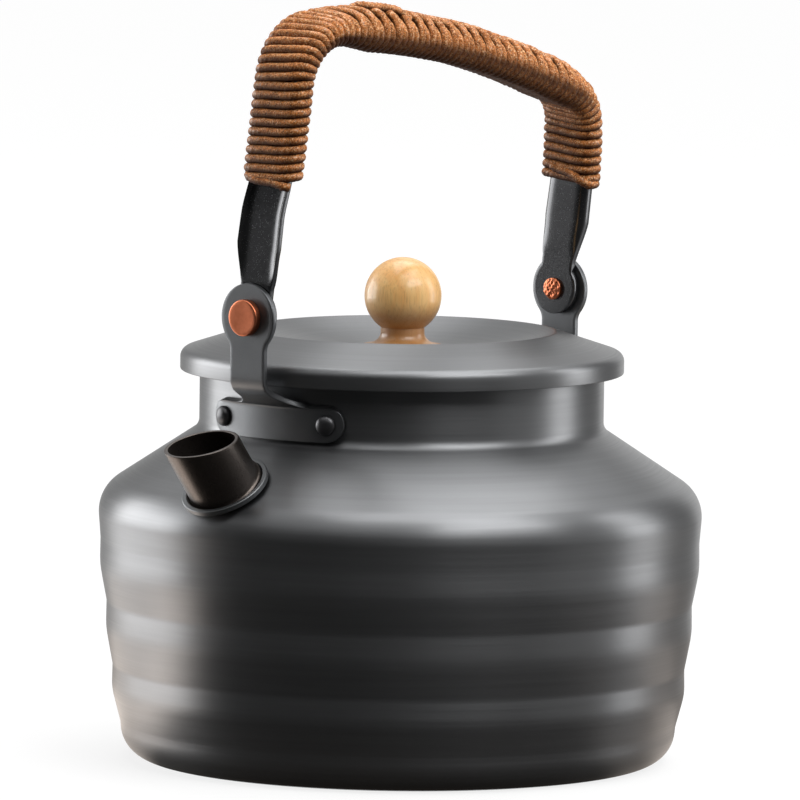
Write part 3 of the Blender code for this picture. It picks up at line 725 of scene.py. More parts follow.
def apply_modifiers(piece):
    """Bake a piece's modifiers into its mesh."""
    graph = bpy.context.evaluated_depsgraph_get()
    shaped = bpy.data.meshes.new_from_object(piece.evaluated_get(graph))
    piece.modifiers.clear()
    old = piece.data
    piece.data = shaped
    bpy.data.meshes.remove(old)
    shaped.set_sharp_from_angle(angle=radians(sheet_crisp))


def soften(line, reach):
    """Round off the corners of a fine line by averaging it over a short run."""
    weights = {-1.0: 1, -0.5: 2, 0.0: 2, 0.5: 2, 1.0: 1}
    total = sum(weights.values())
    runs = [0.0]
    for a, b in zip(line, line[1:]):
        runs.append(runs[-1] + hypot(b[0] - a[0], b[1] - a[1]))
    smooth = [line[0]]
    for i in range(1, len(line) - 1):
        share = min(reach, runs[i], runs[-1] - runs[i])
        samples = [(w, at_run(line, runs, runs[i] + share * k)) for k, w in weights.items()]
        smooth.append(tuple(sum(w * p[axis] for w, p in samples) / total for axis in (0, 1)))
    smooth.append(line[-1])
    return smooth


def at_run(line, runs, run):
    """Point on a line at a run along it."""
    for i in range(len(runs) - 1):
        if run <= runs[i + 1] or i == len(runs) - 2:
            t = (run - runs[i]) / max(runs[i + 1] - runs[i], 1e-9)
            a, b = line[i], line[i + 1]
            return a[0] + (b[0] - a[0]) * t, a[1] + (b[1] - a[1]) * t


def bead_centre():
    """Middle of the rolled bead that the lid rests on."""
    return neck_radius - body_wall + bead_radius, neck_top - bead_radius


def ridge_height():
    """Height of the lid's ridge, set so that the underside rests on the bead."""
    bead_r, bead_z = bead_centre()
    reach = bead_radius + seat_gap + lid_wall
    return bead_z + (bead_r - ridge_radius) * tan(lid_slope) + reach / cos(lid_slope)


def lid_top_z(radius):
    """Height of the lid's outer cone."""
    return ridge_height() - (radius - ridge_radius) * tan(lid_slope)


def dish_floor_z():
    """Height of the flat floor that the knob stands on."""
    return ridge_height() - dish_depth


def lid_line():
    """Outer line of the lid from the middle to the lower edge of the rim."""
    floor = dish_floor_z()
    span = ridge_radius - dish_floor_radius
    bowl = (span * span + dish_depth * dish_depth) / (2 * dish_depth)
    line = [(knob_hole_radius, floor)]
    for i in range(25):
        r = span * 0.93 * i / 24
        line.append((dish_floor_radius + r, floor + bowl - sqrt(bowl * bowl - r * r)))
    rim_bottom = lid_top_z(lid_rim_radius) - lid_rim_drop
    line += rounded([line.pop(), (ridge_radius, ridge_height(), ridge_round),
                     (lid_rim_radius, lid_top_z(lid_rim_radius), lid_rim_round),
                     (lid_rim_radius, rim_bottom)], 12)
    return line


def make_lid(metal):
    """Lid shell with a rounded lower edge on its rim."""
    top = lid_line()
    edge_r, edge_z = top[-1]
    under = offset(top, -lid_wall)
    under[0] = (top[0][0], top[0][1] - lid_wall)
    lip = arc((edge_r - lid_wall / 2, edge_z + lid_lip_lift), lid_wall / 2, 0, -pi, 8)
    lip = [(r, max(z, edge_z)) for r, z in lip]
    maker = turned(top[:-1] + lip + under[:-1][::-1], 200)
    add_piece("lid_pressing", maker, metal, "lid", ["lid_shell"])


def knob_middle():
    """Height of the middle of the knob's ball."""
    return dish_floor_z() + seat_gap + knob_height - knob_ball_radius


def make_knob(wood):
    """Turned knob: a ball on a short neck that flares into a round foot."""
    floor = dish_floor_z() + seat_gap
    ball_z = knob_middle()
    flare_top = floor + knob_foot_edge + knob_flare
    start = -asin(sqrt(1 - (knob_neck_radius / knob_ball_radius) ** 2))
    line = [(0, floor + knob_hole_depth), (knob_hole_radius, floor + knob_hole_depth),
            (knob_hole_radius, floor), (knob_foot_radius - knob_foot_chamfer, floor),
            (knob_foot_radius, floor + knob_foot_side)]
    for i in range(13):
        a = pi / 2 * i / 12
        line.append((knob_foot_radius - (knob_foot_radius - knob_neck_radius) * sin(a),
                     flare_top - knob_flare * cos(a)))
    line += arc((0, ball_z), knob_ball_radius, start, pi / 2, 40)[:-1]
    line.append((0, ball_z + knob_ball_radius))
    add_piece("turned_knob", turned(line, 96), wood, "lid", ["knob"], part_crisp)


def spout_matrix(tilt):
    """Place of the spout on the shoulder, with Z along its axis."""
    spot = Vector((-spout_distance, 0, shoulder_z(spout_distance)))
    return (Matrix.Rotation(spout_turn, 4, "Z") @ Matrix.Translation(spot) @
            Matrix.Rotation(-tilt, 4, "Y"))


def make_spout(metal):
    """Spout tube: flared foot, slight taper, round lip and a mouth cut nearly level."""
    inner_mouth = spout_mouth_radius - spout_wall
    inner_foot = spout_spigot_radius - spout_wall
    flare_top = spout_foot_top + spout_flare_height
    tube_low, tube_high = 3.2 * mm, spout_length - 0.8 * mm
    bore_low, bore_middle, bore_high = 4.9 * mm, 9 * mm, spout_length - 1.2 * mm
    lip = spout_lip_round
    line = [(inner_foot, -spout_spigot_depth), (spout_spigot_radius, -spout_spigot_depth),
            (spout_spigot_radius, spout_seat), (spout_foot_radius, spout_seat),
            (spout_foot_radius, spout_foot_top)]
    for i in range(7):
        a = pi / 2 * i / 6
        line.append((spout_foot_radius - spout_flare * sin(a),
                     flare_top - spout_flare_height * cos(a)))
    for i in range(10):
        line.append((spout_mouth_radius + 0.05 * mm * (1 - i / 9),
                     tube_low + (tube_high - tube_low) * i / 9))
    line += arc((spout_mouth_radius - lip, spout_length - lip), lip, 0, pi / 2, 5)
    line += arc((inner_mouth + lip, spout_length - lip), lip, pi / 2, pi, 5)
    line += [(inner_mouth, bore_high), (inner_mouth - 0.2 * mm, bore_middle),
             (inner_foot, bore_low)]
    maker = turned(line, 96)
    mouth_shear = tan(spout_tilt - spout_mouth_tilt)
    seat_shear = tan(spout_tilt - shoulder_slope)
    shear_low, shear_high = 3.4 * mm, spout_length - 1.2 * mm
    for vert in maker.verts:
        if abs(vert.co.z - spout_seat) < 0.01 * mm:
            vert.co.z -= vert.co.x * seat_shear
        else:
            share = ease((vert.co.z - shear_low) / (shear_high - shear_low))
            vert.co.z -= vert.co.x * mouth_shear * share
    set_place(maker, spout_matrix(spout_tilt))
    add_piece("spout_pipe", maker, metal, "kettle", ["spout_tube"], part_crisp)


def make_flange(metal):
    """Round plate under the spout, square to the shoulder, with a rolled outer edge."""
    inner = spout_foot_radius + flange_gap
    edge = 0.25 * mm
    chamfer = 0.2 * mm
    profile = [(inner, 0.0), (flange_radius - chamfer, 0.0), (flange_radius, chamfer)]
    profile += arc((flange_radius - edge, flange_thickness - edge), edge, 0, pi / 2, 6)
    profile += [(inner + edge, flange_thickness), (inner, flange_thickness - edge)]
    maker = turned(profile, 96)
    set_place(maker, spout_matrix(shoulder_slope) @ Matrix.Translation((0, 0, seat_gap)))
    add_piece("spout_collar_plate", maker, metal, "kettle", ["spout_flange"], part_crisp)


def make_lock_ring(metal):
    """Ring round the spout's spigot that clamps the shoulder from inside."""
    inner = spout_spigot_radius + seat_gap
    outer = inner + lock_ring_width
    top = -body_wall - lock_ring_gap
    low = top - lock_ring_height
    chamfer = 0.3 * mm
    profile = [(inner, low), (outer - chamfer, low), (outer, low + chamfer),
               (outer, top - chamfer), (outer - chamfer, top), (inner, top)]
    maker = set_place(turned(profile, 72), spout_matrix(shoulder_slope))
    add_piece("spout_clamp_ring", maker, metal, "kettle", ["spout_lock_ring"], part_crisp)


def bracket_inner_face():
    """Distance of the bracket's upper part from the middle of the kettle."""
    return leg_distance + strap_thickness + seat_gap


def bracket_path():
    """Line of the bracket's inner face from the band's lower edge to the top of the disc."""
    band_r = neck_radius + seat_gap
    plate_r = bracket_inner_face()
    top_of_band = band_bottom + band_width
    return rounded([(band_r, band_bottom), (band_r, top_of_band, joggle_bend),
                    (plate_r, top_of_band + joggle_rise, joggle_bend),
                    (plate_r, pivot_height - bracket_disc_drop + bracket_disc_radius)], 10)


def walk(line, distance):
    """Point and unit direction at a distance along a line of points."""
    for a, b in zip(line, line[1:]):
        run = hypot(b[0] - a[0], b[1] - a[1])
        if distance <= run or b is line[-1]:
            t = distance / run
            spot = (a[0] + (b[0] - a[0]) * t, a[1] + (b[1] - a[1]) * t)
            return spot, ((b[0] - a[0]) / run, (b[1] - a[1]) / run)
        distance -= run


def line_length(line):
    """Length of a line of points."""
    return sum(hypot(b[0] - a[0], b[1] - a[1]) for a, b in zip(line, line[1:]))


def bracket_outline(total):
    """(distance up the plate, half width) pairs of the flat blank of the bracket."""
    end = band_width / 2
    straight = band_length / 2 - end
    neck = bracket_neck_width / 2
    pairs = []
    for i in range(21):
        a = -pi / 2 + blank_end_angle + (pi - blank_end_angle) * i / 20
        pairs.append((end + end * sin(a), straight + end * cos(a)))
    for i in range(13):
        a = pi / 2 * i / 12
        pairs.append((band_width + bracket_fillet * (1 - cos(a)) + 0.02 * mm,
                      neck + bracket_fillet * (1 - sin(a))))
    centre = total - bracket_disc_radius
    blend = bracket_disc_blend
    reach = sqrt((bracket_disc_radius + blend) ** 2 - (neck + blend) ** 2)
    meet = atan2(reach, neck + blend)
    rise = centre - reach - band_width - bracket_fillet
    pairs += [(band_width + bracket_fillet + rise * i / 8, neck) for i in range(1, 8)]
    for i in range(9):
        a = meet * i / 8
        pairs.append((centre - reach + blend * sin(a), neck + blend * (1 - cos(a))))
    for i in range(1, 33):
        a = -meet + (pi / 2 - blank_end_angle + meet) * i / 32
        pairs.append((centre + bracket_disc_radius * sin(a), bracket_disc_radius * cos(a)))
    return pairs


def edge_sections(half, thickness, edge):
    """(side, height) points round a plate's section, its four long edges rounded."""
    half = max(half, edge * 1.2)
    columns = section_columns
    bottom = [(-half + edge + (2 * half - 2 * edge) * i / columns, 0.0) for i in range(columns + 1)]
    right = [(half - edge + edge * sin(a), edge - edge * cos(a)) for a in (pi / 6, pi / 3, pi / 2)]
    right += [(half - edge + edge * cos(a), thickness - edge + edge * sin(a))
              for a in (0, pi / 6, pi / 3)]
    top = [(s, thickness) for s, h in bottom[::-1]]
    left = [(-s, h) for s, h in right[::-1]]
    return bottom + right + top + left


def make_bracket(end, metal):
    """Bent plate: a band round the neck and an upright that ends in a disc."""
    shift = hinge_shift if end == "front" else -hinge_shift
    line = bracket_path()
    total = line_length(line)
    bend = neck_radius + seat_gap
    rings = []
    for distance, half in bracket_outline(total):
        (r, z), (dr, dz) = walk(line, distance)
        straighten = ease((distance - band_width) / (bracket_fillet * 1.5))
        curve = (1 - straighten) / bend
        ring = []
        for side, height in edge_sections(half, bracket_plate, plate_edge):
            face_r, face_z = r + dz * height, z - dr * height
            side += shift
            angle = side * curve
            radius = 1 / curve + (face_r - r) if curve > 1e-4 else None
            x = face_r - radius * (1 - cos(angle)) if radius else face_r
            y = radius * sin(angle) if radius else side
            ring.append((x, y, face_z))
        rings.append(ring)
    maker = loft(rings)
    if end == "front":
        set_place(maker, Matrix.Rotation(pi, 4, "Z"))
    add_piece(end + "_bent_bracket", maker, metal, "kettle", [end + "_bracket"], part_crisp)


def make_band_rivets(metal):
    """Four round-head rivets that hold the brackets on the neck."""
    for end, turn, shift in (("front", pi, hinge_shift), ("rear", 0, -hinge_shift)):
        for side, spread in (("left", -rivet_spread), ("right", rivet_spread)):
            outer = neck_radius + seat_gap + bracket_plate + rivet_head_gap
            inner = neck_radius - body_wall
            dome = outer + rivet_dome_edge
            line = [(0, inner - rivet_tail_height), (rivet_tail_flat, inner - rivet_tail_height),
                    (rivet_tail_radius, inner - rivet_tail_side), (rivet_tail_radius, inner),
                    (rivet_shank_radius, inner), (rivet_shank_radius, outer),
                    (rivet_dome_radius, outer)]
            line += [(rivet_dome_radius * cos(a), dome + rivet_dome_height * sin(a))
                     for a in [pi / 2 * i / 12 for i in range(12)]]
            line.append((0, dome + rivet_dome_height))
            aim = turn + spread + shift / neck_radius
            matrix = (Matrix.Translation((0, 0, rivet_height)) @
                      Matrix.Rotation(aim, 4, "Z") @ Matrix.Rotation(pi / 2, 4, "Y"))
            maker = set_place(turned(line, 40), matrix)
            add_piece(end + "_neck_rivet_" + side, maker, metal, "kettle",
                      [end + "_band_rivet_" + side], part_crisp)


def make_pivot_rivets(copper):
    """Copper pivots: a flat head with a rolled edge outside and a hammered end inside."""
    inner = leg_distance - pivot_tail_gap
    outer = bracket_inner_face() + bracket_plate + pivot_head_gap
    top = outer + pivot_head_height
    edge = pivot_head_edge
    chamfer = 0.2 * mm
    rows = 13
    for end, turn in (("front", pi), ("rear", 0)):
        dome = []
        for i in range(rows + 1):
            a = pi / 2 * i / rows
            bulge = 0.25 + 0.75 * cos(a) ** 0.5 if i < rows else 0.25
            dome.append((pivot_tail_radius * sin(a), inner - pivot_tail_height * bulge))
        line = [(pivot_tail_radius, inner), (pivot_shank_radius, inner), (pivot_shank_radius, outer),
                (pivot_head_radius - chamfer, outer), (pivot_head_radius, outer + chamfer)]
        line += arc((pivot_head_radius - edge, top - edge), edge, 0, pi / 2, 6)
        line += [(pivot_head_radius * k, top - pivot_head_hollow * (1 - k))
                 for k in (0.75, 0.5, 0.25, 0)]
        maker = turned(dome + line, 56)
        for vert in maker.verts:
            if vert.co.z < inner - pivot_tail_height * 0.2:
                knock = noise.voronoi(vert.co * hammer_scale)[0]
                vert.co.z += hammer_depth * (0.5 - knock[0])
        matrix = (Matrix.Translation((0, -hinge_shift, pivot_height - pivot_drop)) @
                  Matrix.Rotation(turn, 4, "Z") @ Matrix.Rotation(pi / 2, 4, "Y"))
        add_piece(end + "_copper_pivot", set_place(maker, matrix), copper, "kettle",
                  [end + "_pivot_rivet"], hammered_crisp)


def bail_corners():
    """Middle, radius and the bar's angle of each corner of the strap's inner line."""
    centre_v = bar_crest_height - bar_radius
    corners = []
    for side, radius in ((-1, front_corner_radius), (1, rear_corner_radius)):
        u = side * (leg_distance - radius)
        reach = bar_radius - radius
        v = centre_v + sqrt(reach ** 2 - (u - bar_crest_place) ** 2)
        corners.append((u, v, radius, atan2(v - centre_v, u - bar_crest_place)))
    return corners


def bail_pieces():
    """Inner line of the bail in its own plane, as (kind, length, values) pieces, front to rear."""
    front, rear = bail_corners()
    big = (bar_crest_place, bar_crest_height - bar_radius)
    return [("leg", front[1] + eye_radius, (-leg_distance, -eye_radius, 1)),
            ("arc", front[2] * (pi - front[3]), (front[:2], front[2], pi)),
            ("arc", bar_radius * (front[3] - rear[3]), (big, bar_radius, front[3])),
            ("arc", rear[2] * rear[3], (rear[:2], rear[2], rear[3])),
            ("leg", rear[1] + eye_radius, (leg_distance, rear[1], -1))]


bail_run = bail_pieces()
bail_total = sum(length for kind, length, values in bail_run)
front_corner_start = bail_run[0][1]
bar_start = front_corner_start + bail_run[1][1]
bar_end = bar_start + bail_run[2][1]
rear_corner_end = bar_end + bail_run[3][1]
winding_start = eye_radius + front_cord_start + cord_radius
winding_end = bail_total - eye_radius - rear_cord_start - cord_radius
disc_top = sqrt(eye_radius ** 2 - (eye_neck_width / 2) ** 2)


def drawn_in(u, v):
    """Bring the wound legs a little closer together than the eyes, and the bar with them."""
    if u < 0:
        draw = front_leg_draw * ease((v - front_draw_start) / front_draw_run)
    else:
        draw = rear_leg_draw * ease((v - rear_draw_start) / rear_draw_run)
    return Vector((u * (1 - draw / leg_distance), v))


def bail_point(distance):
    """Place on the inner line and the direction away from the middle of the kettle."""
    for i, (kind, length, values) in enumerate(bail_run):
        if distance <= length or i == len(bail_run) - 1:
            break
        distance -= length
    if kind == "leg":
        u, v, way = values
        return drawn_in(u, v + way * distance), Vector((-way, 0))
    (cu, cv), radius, start = values
    angle = start - distance / radius
    away = Vector((cos(angle), sin(angle)))
    return drawn_in(cu + away.x * radius, cv + away.y * radius), away


def bail_place():
    """Place of the bail's own frame: X along the pivot line, Z up the bail."""
    return (Matrix.Translation((0, -hinge_shift, pivot_height)) @
            Matrix.Rotation(bail_lean, 4, "X"))


def strap_shape(height):
    """Width and rise of the strap at a height above the pivot."""
    if height < disc_top:
        return 2 * sqrt(max(eye_radius ** 2 - height ** 2, 0)), 0
    if height < strap_kink_height:
        t = max(height - eye_neck_height, 0) / (strap_kink_height - eye_neck_height)
        width = eye_neck_width + (strap_kink_width - eye_neck_width) * t ** kink_power
        return width, strap_rise * ease(t)
    t = min((height - strap_kink_height) / (strap_plain_height - strap_kink_height), 1)
    return strap_kink_width + (strap_width - strap_kink_width) * t, strap_rise


def make_strap(metal):
    """Strap of the bail with flat round eyes, its channel open to the outside."""
    stop = asin(disc_top / eye_radius)
    low = radians(3) - pi / 2
    heights = [eye_radius * sin(low + (stop - low) * i / 26) for i in range(27)]
    for start, end, steps in ((disc_top, eye_neck_height, 3),
                              (eye_neck_height, strap_kink_height, 14),
                              (strap_kink_height, strap_plain_height, 8)):
        heights += [start + (end - start) * i / steps for i in range(1, steps + 1)]
    near = [h + eye_radius for h in heights]
    first = near[-1] + 2 * mm
    middle = [first + (bail_total - 2 * first) * i / 90 for i in range(91)]
    stations = near + middle + [bail_total - d for d in reversed(near)]
    rings = []
    for distance in stations:
        spot, away = bail_point(distance)
        width, rise = strap_shape(min(distance, bail_total - distance) - eye_radius)
        ring = []
        for side, level in edge_sections(width / 2, strap_thickness, strap_edge):
            lift = level + rise * min(abs(2 * side / width), 1) ** channel_power
            ring.append((spot.x + away.x * lift, side, spot.y + away.y * lift))
        rings.append(ring)
    maker = set_place(loft(rings), bail_place())
    add_piece("bail_bar", maker, metal, "bail", ["bail_strap"], part_crisp)


def squared(value, power):
    """Push a sine or cosine outwards so that a turn hugs a flat strap."""
    return (1 if value >= 0 else -1) * abs(value) ** power


def rise_and_fall(distance, start, full, end):
    """Weight that grows from start to full and fades again before end, as the corners do."""
    return ease((distance - start) / (full - start)) * ease((end - distance) / (full - start))


def bar_weight(distance):
    """How far the slanted hitching of the bar has taken over from the level turns of the legs."""
    grow = ease((distance - bar_start + slant_lead) / slant_grow)
    fade = ease((rear_corner_end - slant_stop - distance) / slant_fade)
    return grow * fade


def turn_slant(phase):
    """Shift along the bar of a slanted turn at a phase round the strap."""
    phase = phase % 1.0
    for (p0, s0), (p1, s1) in zip(slant_stops, slant_stops[1:]):
        if phase <= p1:
            return s0 + (s1 - s0) * ease((phase - p0) / (p1 - p0))


def around_strap(phase):
    """Angle of a phase in the strap's section, from the far side over the outer face."""
    return pi / 2 + 2 * pi * (phase - outer_face_phase)


def cord_point(distance, phase, pair):
    """Middle of the cord and its outward direction at a phase round the strap.

    Phase 0 is the far top edge, 0.22 the near top edge, 0.5 the near lower edge, 0.72 the far
    lower edge. Pair is how far a turn leans to its neighbour on the crest, by sign and size.
    """
    weight = bar_weight(distance)
    distance += weight * turn_slant(phase)
    crest = exp(-((((phase + 0.5) % 1.0) - 0.5 - crest_phase) / crest_spread) ** 2)
    distance += weight * crest * pair * pair_shift
    across = squared(cos(around_strap(phase)),
                     leg_across_power + (bar_across_power - leg_across_power) * weight)
    on_front_leg = ease((bar_start + front_slant_end - distance) / front_slant_fade)
    distance -= front_leg_slant * on_front_leg * across
    spot, away = bail_point(min(max(distance, 0), bail_total))
    depth = strap_thickness + strap_rise
    half_wide = strap_width / 2 + cord_radius
    inner = sin(around_strap(phase)) < 0
    swell = bar_swell * weight
    if inner:
        swell *= ease((distance - bar_start) / bar_swell_grow)
    half_deep = depth / 2 + cord_radius + strap_clearance + swell
    side = half_wide * across
    rise = half_deep * squared(sin(around_strap(phase)),
                               leg_rise_power + (bar_rise_power - leg_rise_power) * weight)
    rise = max(rise, weight * bar_flat - half_deep)
    rise += weight * crest * (bar_crest_raise + pair_raise * pair)
    point = Vector((spot.x, side, spot.y)) + Vector((away.x, 0, away.y)) * (depth / 2 + rise)
    tilt = rise / half_deep ** 2
    lean = Vector((away.x * tilt, side / half_wide ** 2, away.y * tilt))
    return point, lean.normalized()


def cord_tube(routes):
    """Twisted cord along routes, its section lobed by the plies.

    Its valley mark is the shade painted into the colour where a spot lies deep between turns. Its yarn
    mark is the run along the cord, the turn round it with the twist, and the shade painted into the
    cord's colour there.
    """
    maker = bmesh.new()
    valley_shade = maker.verts.layers.float.new("valley_shade")
    yarn_and_shade = maker.verts.layers.float_vector.new("yarn_and_shade")
    for route in routes:
        run = 0.0
        rows = []
        last = route[0][0]
        for i, (point, lean) in enumerate(route):
            before = route[max(i - 1, 0)][0]
            after = route[min(i + 1, len(route) - 1)][0]
            ahead = (after - before).normalized()
            along = ahead.cross(lean).normalized()
            out = along.cross(ahead).normalized()
            run += (point - last).length
            last = point
            blunt = min(1.0, 0.35 + 0.5 * min(i, len(route) - 1 - i) ** 0.5)
            wave = noise.noise(point * wave_scale) * wave_depth
            row = []
            for k in range(cord_sides):
                a = 2 * pi * k / cord_sides
                twisted = cord_plies * (a - 2 * pi * run / cord_twist_run)
                fuzz = noise.noise(point * fuzz_scale + Vector((k * 0.9, 0, 0))) * fuzz_depth
                radius = cord_radius * blunt * (1 + lobe_depth * cos(twisted) + fuzz + wave)
                squash = 1.0 - cord_squash * abs(sin(a))
                spot = point + along * (radius * cos(a)) + out * (radius * squash * sin(a))
                vert = maker.verts.new(spot)
                inward = 0.5 - 0.5 * sin(a)
                # Painted shade, deeper the further a spot faces in between the turns
                vert[valley_shade] = min(max((inward - valley_shade_start) * valley_shade_slope, 0.0), valley_shade_most)
                vert[yarn_and_shade] = Vector((run * yarn_run_scale, twisted * yarn_turn_scale,
                                     painted_cord_shade(lean, along, cos(a), point.x)))
                row.append(vert)
            rows.append(row)
        skin(maker, rows)
    return maker


def painted_cord_shade(lean, along, side, place):
    """How much shade is painted into the cord's colour, most at the rear.

    The painted shade falls on the turns of the bar below it, and on the turns of the legs on their own
    lower side.
    """
    rear = ease((place - shade_rear_place) / shade_rear_run)
    below = ease(0.56 + 0.26 * rear - (0.95 + 0.1 * rear) * lean.z) * ease(1.6 - 1.6 * abs(lean.x))
    own_side = ease(0.42 + 0.08 * rear - 0.85 * along.z * side)
    return below + (own_side - below) * along.z ** 2


def turn_places():
    """Distance along the strap of every turn's start, closer round the two corners."""
    places = [winding_start]
    while places[-1] < winding_end:
        here = places[-1]
        front = rise_and_fall(here, front_corner_start - front_closing_lead,
                              front_corner_start + front_closing_full, bar_start)
        rear = rise_and_fall(here, bar_end, bar_end + rear_closing_full, rear_corner_end)
        places.append(here + cord_pitch - front_corner_closing * front - rear_corner_closing * rear)
    return places


def wound_route(places, first, last):
    """Route of the turns from one to another, each a little out of place and parted by chance."""
    route = []
    for turn in range(first, last):
        start, end = places[turn], places[turn + 1]
        jitter = (leg_jitter + bar_jitter * bar_weight(start)) * (chance.random() - 0.5)
        parting = 0.5 + chance.random()
        pair = parting if turn % 2 else -parting
        for i in range(turn_points):
            share = i / turn_points
            here = start + (end - start) * share + jitter * sin(pi * share)
            route.append(cord_point(here, share, pair))
    return route


def laid_strand(stops):
    """Route of a strand that lies over the turns, through (distance, phase, lift) stops."""
    route = []
    for (d0, p0, l0), (d1, p1, l1) in zip(stops, stops[1:]):
        for i in range(strand_points):
            t = i / strand_points
            point, lean = cord_point(d0 + (d1 - d0) * t, p0 + (p1 - p0) * t, 0)
            route.append((point + lean * (l0 + (l1 - l0) * ease(t)), lean))
    return route


def cord_ends():
    """The cord's two tails and the strand that is laid over the bar's crest, by winding."""
    low, last = winding_start, winding_end
    return {"front_leg_cord": [(low - 2.0 * mm, 0.3, 0.0), (low - 1.7 * mm, 0.22, 0.1 * mm),
                               (low + 0.1 * mm, 0.02, 0.0), (low + 1.5 * mm, -0.1, -0.9 * mm)],
            "bar_cord": [(bar_start + 9.5 * mm, 0.08, -0.4 * mm),
                         (bar_start + 13 * mm, 0.12, 1.6 * mm),
                         (bar_start + 23 * mm, 0.15, 1.7 * mm),
                         (bar_start + 28.5 * mm, 0.2, 0.2 * mm)],
            "rear_leg_cord": [(last - 2.4 * mm, 0.66, 0.4 * mm), (last - 0.3 * mm, 0.52, 1.0 * mm),
                              (last + 0.8 * mm, 0.4, 0.5 * mm), (last + 0.6 * mm, 0.3, 0.0)]}


def make_windings(cord):
    """One cord wound from the front leg over the bar to the rear leg, kept as three pieces."""
    places = turn_places()
    ends = cord_ends()
    front_last = next(i for i, d in enumerate(places) if d > bar_start)
    rear_first = next(i for i, d in enumerate(places) if d > bar_end - rear_leg_lead)
    spans = [("front_leg_cord", 0, front_last, "front_leg_winding"),
             ("bar_cord", front_last, rear_first, "bar_winding"),
             ("rear_leg_cord", rear_first, len(places) - 1, "rear_leg_winding")]
    for name, first, last, node in spans:
        maker = cord_tube([wound_route(places, first, last), laid_strand(ends[name])])
        add_piece(name, set_place(maker, bail_place()), cord, "bail", [node], cord_crisp)


def give_finish(node, material):
    """Put a finish on a CAD node that stays as it is."""
    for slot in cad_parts[node].material_slots:
        slot.material = material


def make_camera():
    """Camera at the photograph's angle, with its small roll."""
    a = camera_bearing
    at = Vector((sin(a) * camera_distance, -cos(a) * camera_distance, camera_height))
    ahead = Vector((-sin(a), cos(a), 0))
    right = Vector((cos(a), sin(a), 0))
    turned_ahead = ahead * cos(camera_yaw) + right * sin(camera_yaw)
    turned_right = right * cos(camera_yaw) - ahead * sin(camera_yaw)
    up = Vector((0, 0, 1))
    view = turned_ahead * cos(camera_pitch) - up * sin(camera_pitch)
    top = up * cos(camera_pitch) + turned_ahead * sin(camera_pitch)
    side = turned_right * cos(camera_roll) + top * sin(camera_roll)
    top = top * cos(camera_roll) - turned_right * sin(camera_roll)
    data = bpy.data.cameras.new("studio_camera")
    data.lens = camera_lens
    data.sensor_width = camera_sensor
    data.clip_end = 50
    camera = bpy.data.objects.new("studio_camera", data)
    basis = Matrix((side, top, -view)).transposed().to_4x4()
    camera.matrix_world = Matrix.Translation(at) @ basis
    bpy.context.scene.collection.objects.link(camera)
    bpy.context.scene.camera = camera


def softbox(name, spot, size, level):
    """A soft light: upright and facing the kettle, or level where it hangs above it."""
    data = bpy.data.lights.new(name, "AREA")
    data.shape = "RECTANGLE"
    data.size, data.size_y = size
    data.energy = level * pi * size[0] * size[1]
    light = bpy.data.objects.new(name, data)
    light.location = spot
    if spot.z > hanging_height:
        light.rotation_euler = (0, 0, camera_bearing)
    else:
        light.rotation_euler = (pi / 2, 0, atan2(spot.y, spot.x) + pi / 2)
    light.visible_camera = False
    bpy.context.scene.collection.objects.link(light)


def make_lights():
    """A softbox on the left, a strip on the right, a broad box overhead and one high in front."""
    for name, spot, size, level in studio_lights:
        softbox(name, spot, size, level)


def make_room():
    """White room to the camera and in reflections, and a dimmer even light for the rest."""
    world = bpy.data.worlds.new("white_room")
    bpy.context.scene.world = world
    wiring = Wiring(world, "Background")
    wiring.set("Color", (1, 1, 1))
    wiring.set("Strength", wiring.signal("ShaderNodeMapRange", {}, {
        "Value": wiring.clear_rays(), "To Min": room_light, "To Max": 1.0}))


def stage_piece(name, corners, faces, material):
    """A flat or folded sheet of the studio."""
    mesh = bpy.data.meshes.new(name)
    mesh.from_pydata(corners, [], faces)
    mesh.materials.append(material)
    sheet = bpy.data.objects.new(name, mesh)
    bpy.context.scene.collection.objects.link(sheet)
    return sheet


def make_floor():
    """Pale floor that keeps the kettle's shadow."""
    finish = Finish("pale_floor", 0.0)
    finish.set("Base Color", (0.2, 0.2, 0.2))
    finish.set("Roughness", 0.9)
    finish.set("Specular IOR Level", 0.0)
    reach = finish.signal("ShaderNodeVectorMath", {"operation": "LENGTH"}, {0: finish.place}, 1)
    glow = finish.faded(reach, floor_glow_start, floor_glow_end, floor_glow_near, floor_glow_far)
    seen = finish.clear_rays() * glow
    finish.set("Emission Color", finish.blend(seen, (0, 0, 0), (1, 1, 1)))
    finish.set("Emission Strength", 1.0)
    half = floor_half
    corners = [(-half, -half, 0), (half, -half, 0), (half, half, 0), (-half, half, 0)]
    stage_piece("studio_floor", corners, [(0, 1, 2, 3)], finish.material)


def reflection_glow_level(bearing):
    """Glow levels of the painted reflection sheet at a bearing: far off, on the table, and at the
    kettle's foot.
    """
    for (before, *low), (after, *high) in zip(reflection_glow_levels, reflection_glow_levels[1:]):
        if bearing <= after:
            share = ease((bearing - before) / (after - before))
            return [a + (b - a) * share for a, b in zip(low, high)]
    return list(reflection_glow_levels[-1][1:])


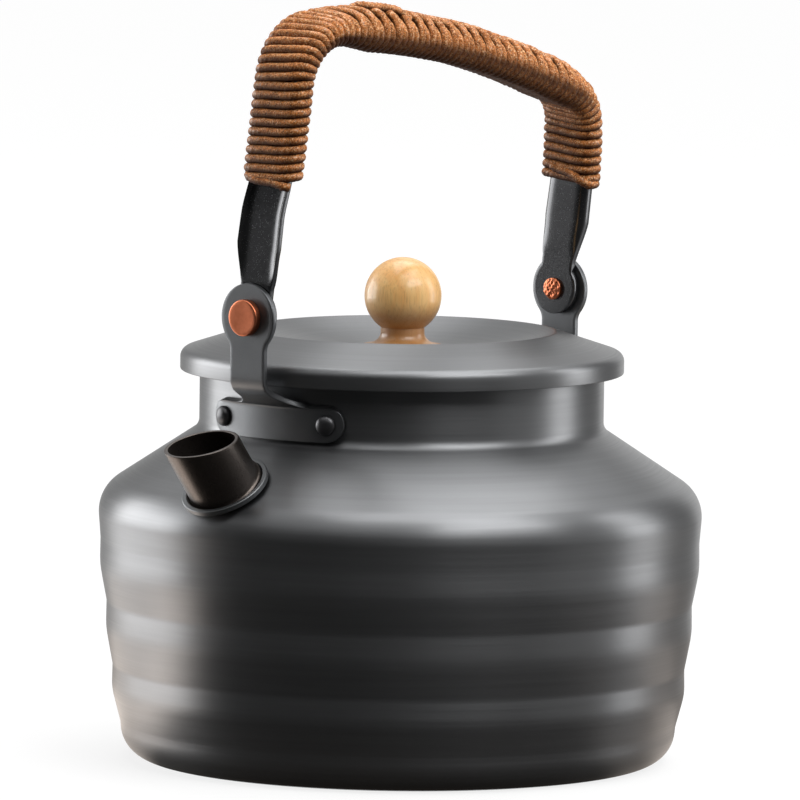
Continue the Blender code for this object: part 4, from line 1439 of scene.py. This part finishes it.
def make_reflection_glow():
    """Sheet that glows only in reflections, painting a studio's cloth onto the metal: on the table and
    behind it, shaded softly round the kettle.
    """
    finish = Finish("reflection_glow_sheet", 0.0)
    finish.set("Base Color", (0, 0, 0))
    finish.set("Roughness", 1.0)
    finish.set("Emission Color", finish.mark("tone"))
    finish.set("Emission Strength", 1.0)
    far, table, foot = range(3)
    profile = [(0.0, glow_sheet_lift, foot), (foot_reach - foot_blend, glow_sheet_lift, foot),
               (foot_reach + foot_blend, glow_sheet_lift, table),
               (table_reach - table_blend_in, glow_sheet_lift, table),
               (table_reach + table_blend_out, glow_sheet_lift, far),
               (screen_reach, glow_sheet_lift, far), (screen_reach, screen_height, far)]
    corners, tones = [], []
    for i in range(glow_sheet_columns + 1):
        bearing = -180 + 360 * i / glow_sheet_columns
        levels = reflection_glow_level(bearing)
        for reach, height, zone in profile:
            corners.append(around(bearing, reach, height))
            warmth = (1, 1, 1) if zone == far else table_warmth
            tones.extend(levels[zone] * share for share in warmth)
    rows = len(profile)
    faces = [(rows * i + k, rows * i + k + 1, rows * (i + 1) + k + 1, rows * (i + 1) + k)
             for i in range(glow_sheet_columns) for k in range(rows - 1)]
    glow_sheet = stage_piece("reflection_glow_sheet", corners, faces, finish.material)
    glow_sheet.data.attributes.new("tone", "FLOAT_VECTOR", "POINT").data.foreach_set("vector", tones)
    # The sheet glows only for glossy rays, so it paints reflections on the metal and lights nothing
    # else
    glow_sheet.visible_camera = False
    glow_sheet.visible_diffuse = False
    glow_sheet.visible_transmission = False
    glow_sheet.visible_shadow = False


def build_scene():
    """Make every piece, finish, light and the camera."""
    bpy.context.scene.view_settings.view_transform = "Standard"
    make_camera()
    body_metal = spun_aluminium("spun_body_metal", (0.15, 0.153, 0.157), 0.37, 0.02 * mm)
    lid_metal = spun_aluminium("spun_lid_metal", (0.15, 0.153, 0.157), 0.38, 0.02 * mm)
    plate = plate_aluminium("anodised_plate", (0.122, 0.126, 0.131), 0.4)
    strap = plate_aluminium("anodised_strap", (0.08, 0.081, 0.084), 0.22)
    dark = plate_aluminium("dark_rivet_metal", (0.08, 0.08, 0.083), 0.35)
    flange = plate_aluminium("flange_metal", (0.14, 0.145, 0.15), 0.4)
    pipe = plate_aluminium("spout_metal", (0.078, 0.066, 0.059), 0.32)
    copper = worked_copper()
    wood = lacquered_wood()
    cord = waxed_cord()
    steel = plain_steel()
    make_body(body_metal)
    make_lid(lid_metal)
    make_knob(wood)
    make_spout(pipe)
    make_flange(flange)
    make_lock_ring(flange)
    for end in ("front", "rear"):
        make_bracket(end, plate)
    make_band_rivets(dark)
    make_pivot_rivets(copper)
    make_strap(strap)
    make_windings(cord)
    give_finish("lid_collar", lid_metal)
    give_finish("knob_screw", steel)
    give_finish("knob_washer", steel)
    make_lights()
    make_room()
    make_floor()
    make_reflection_glow()


build_scene()
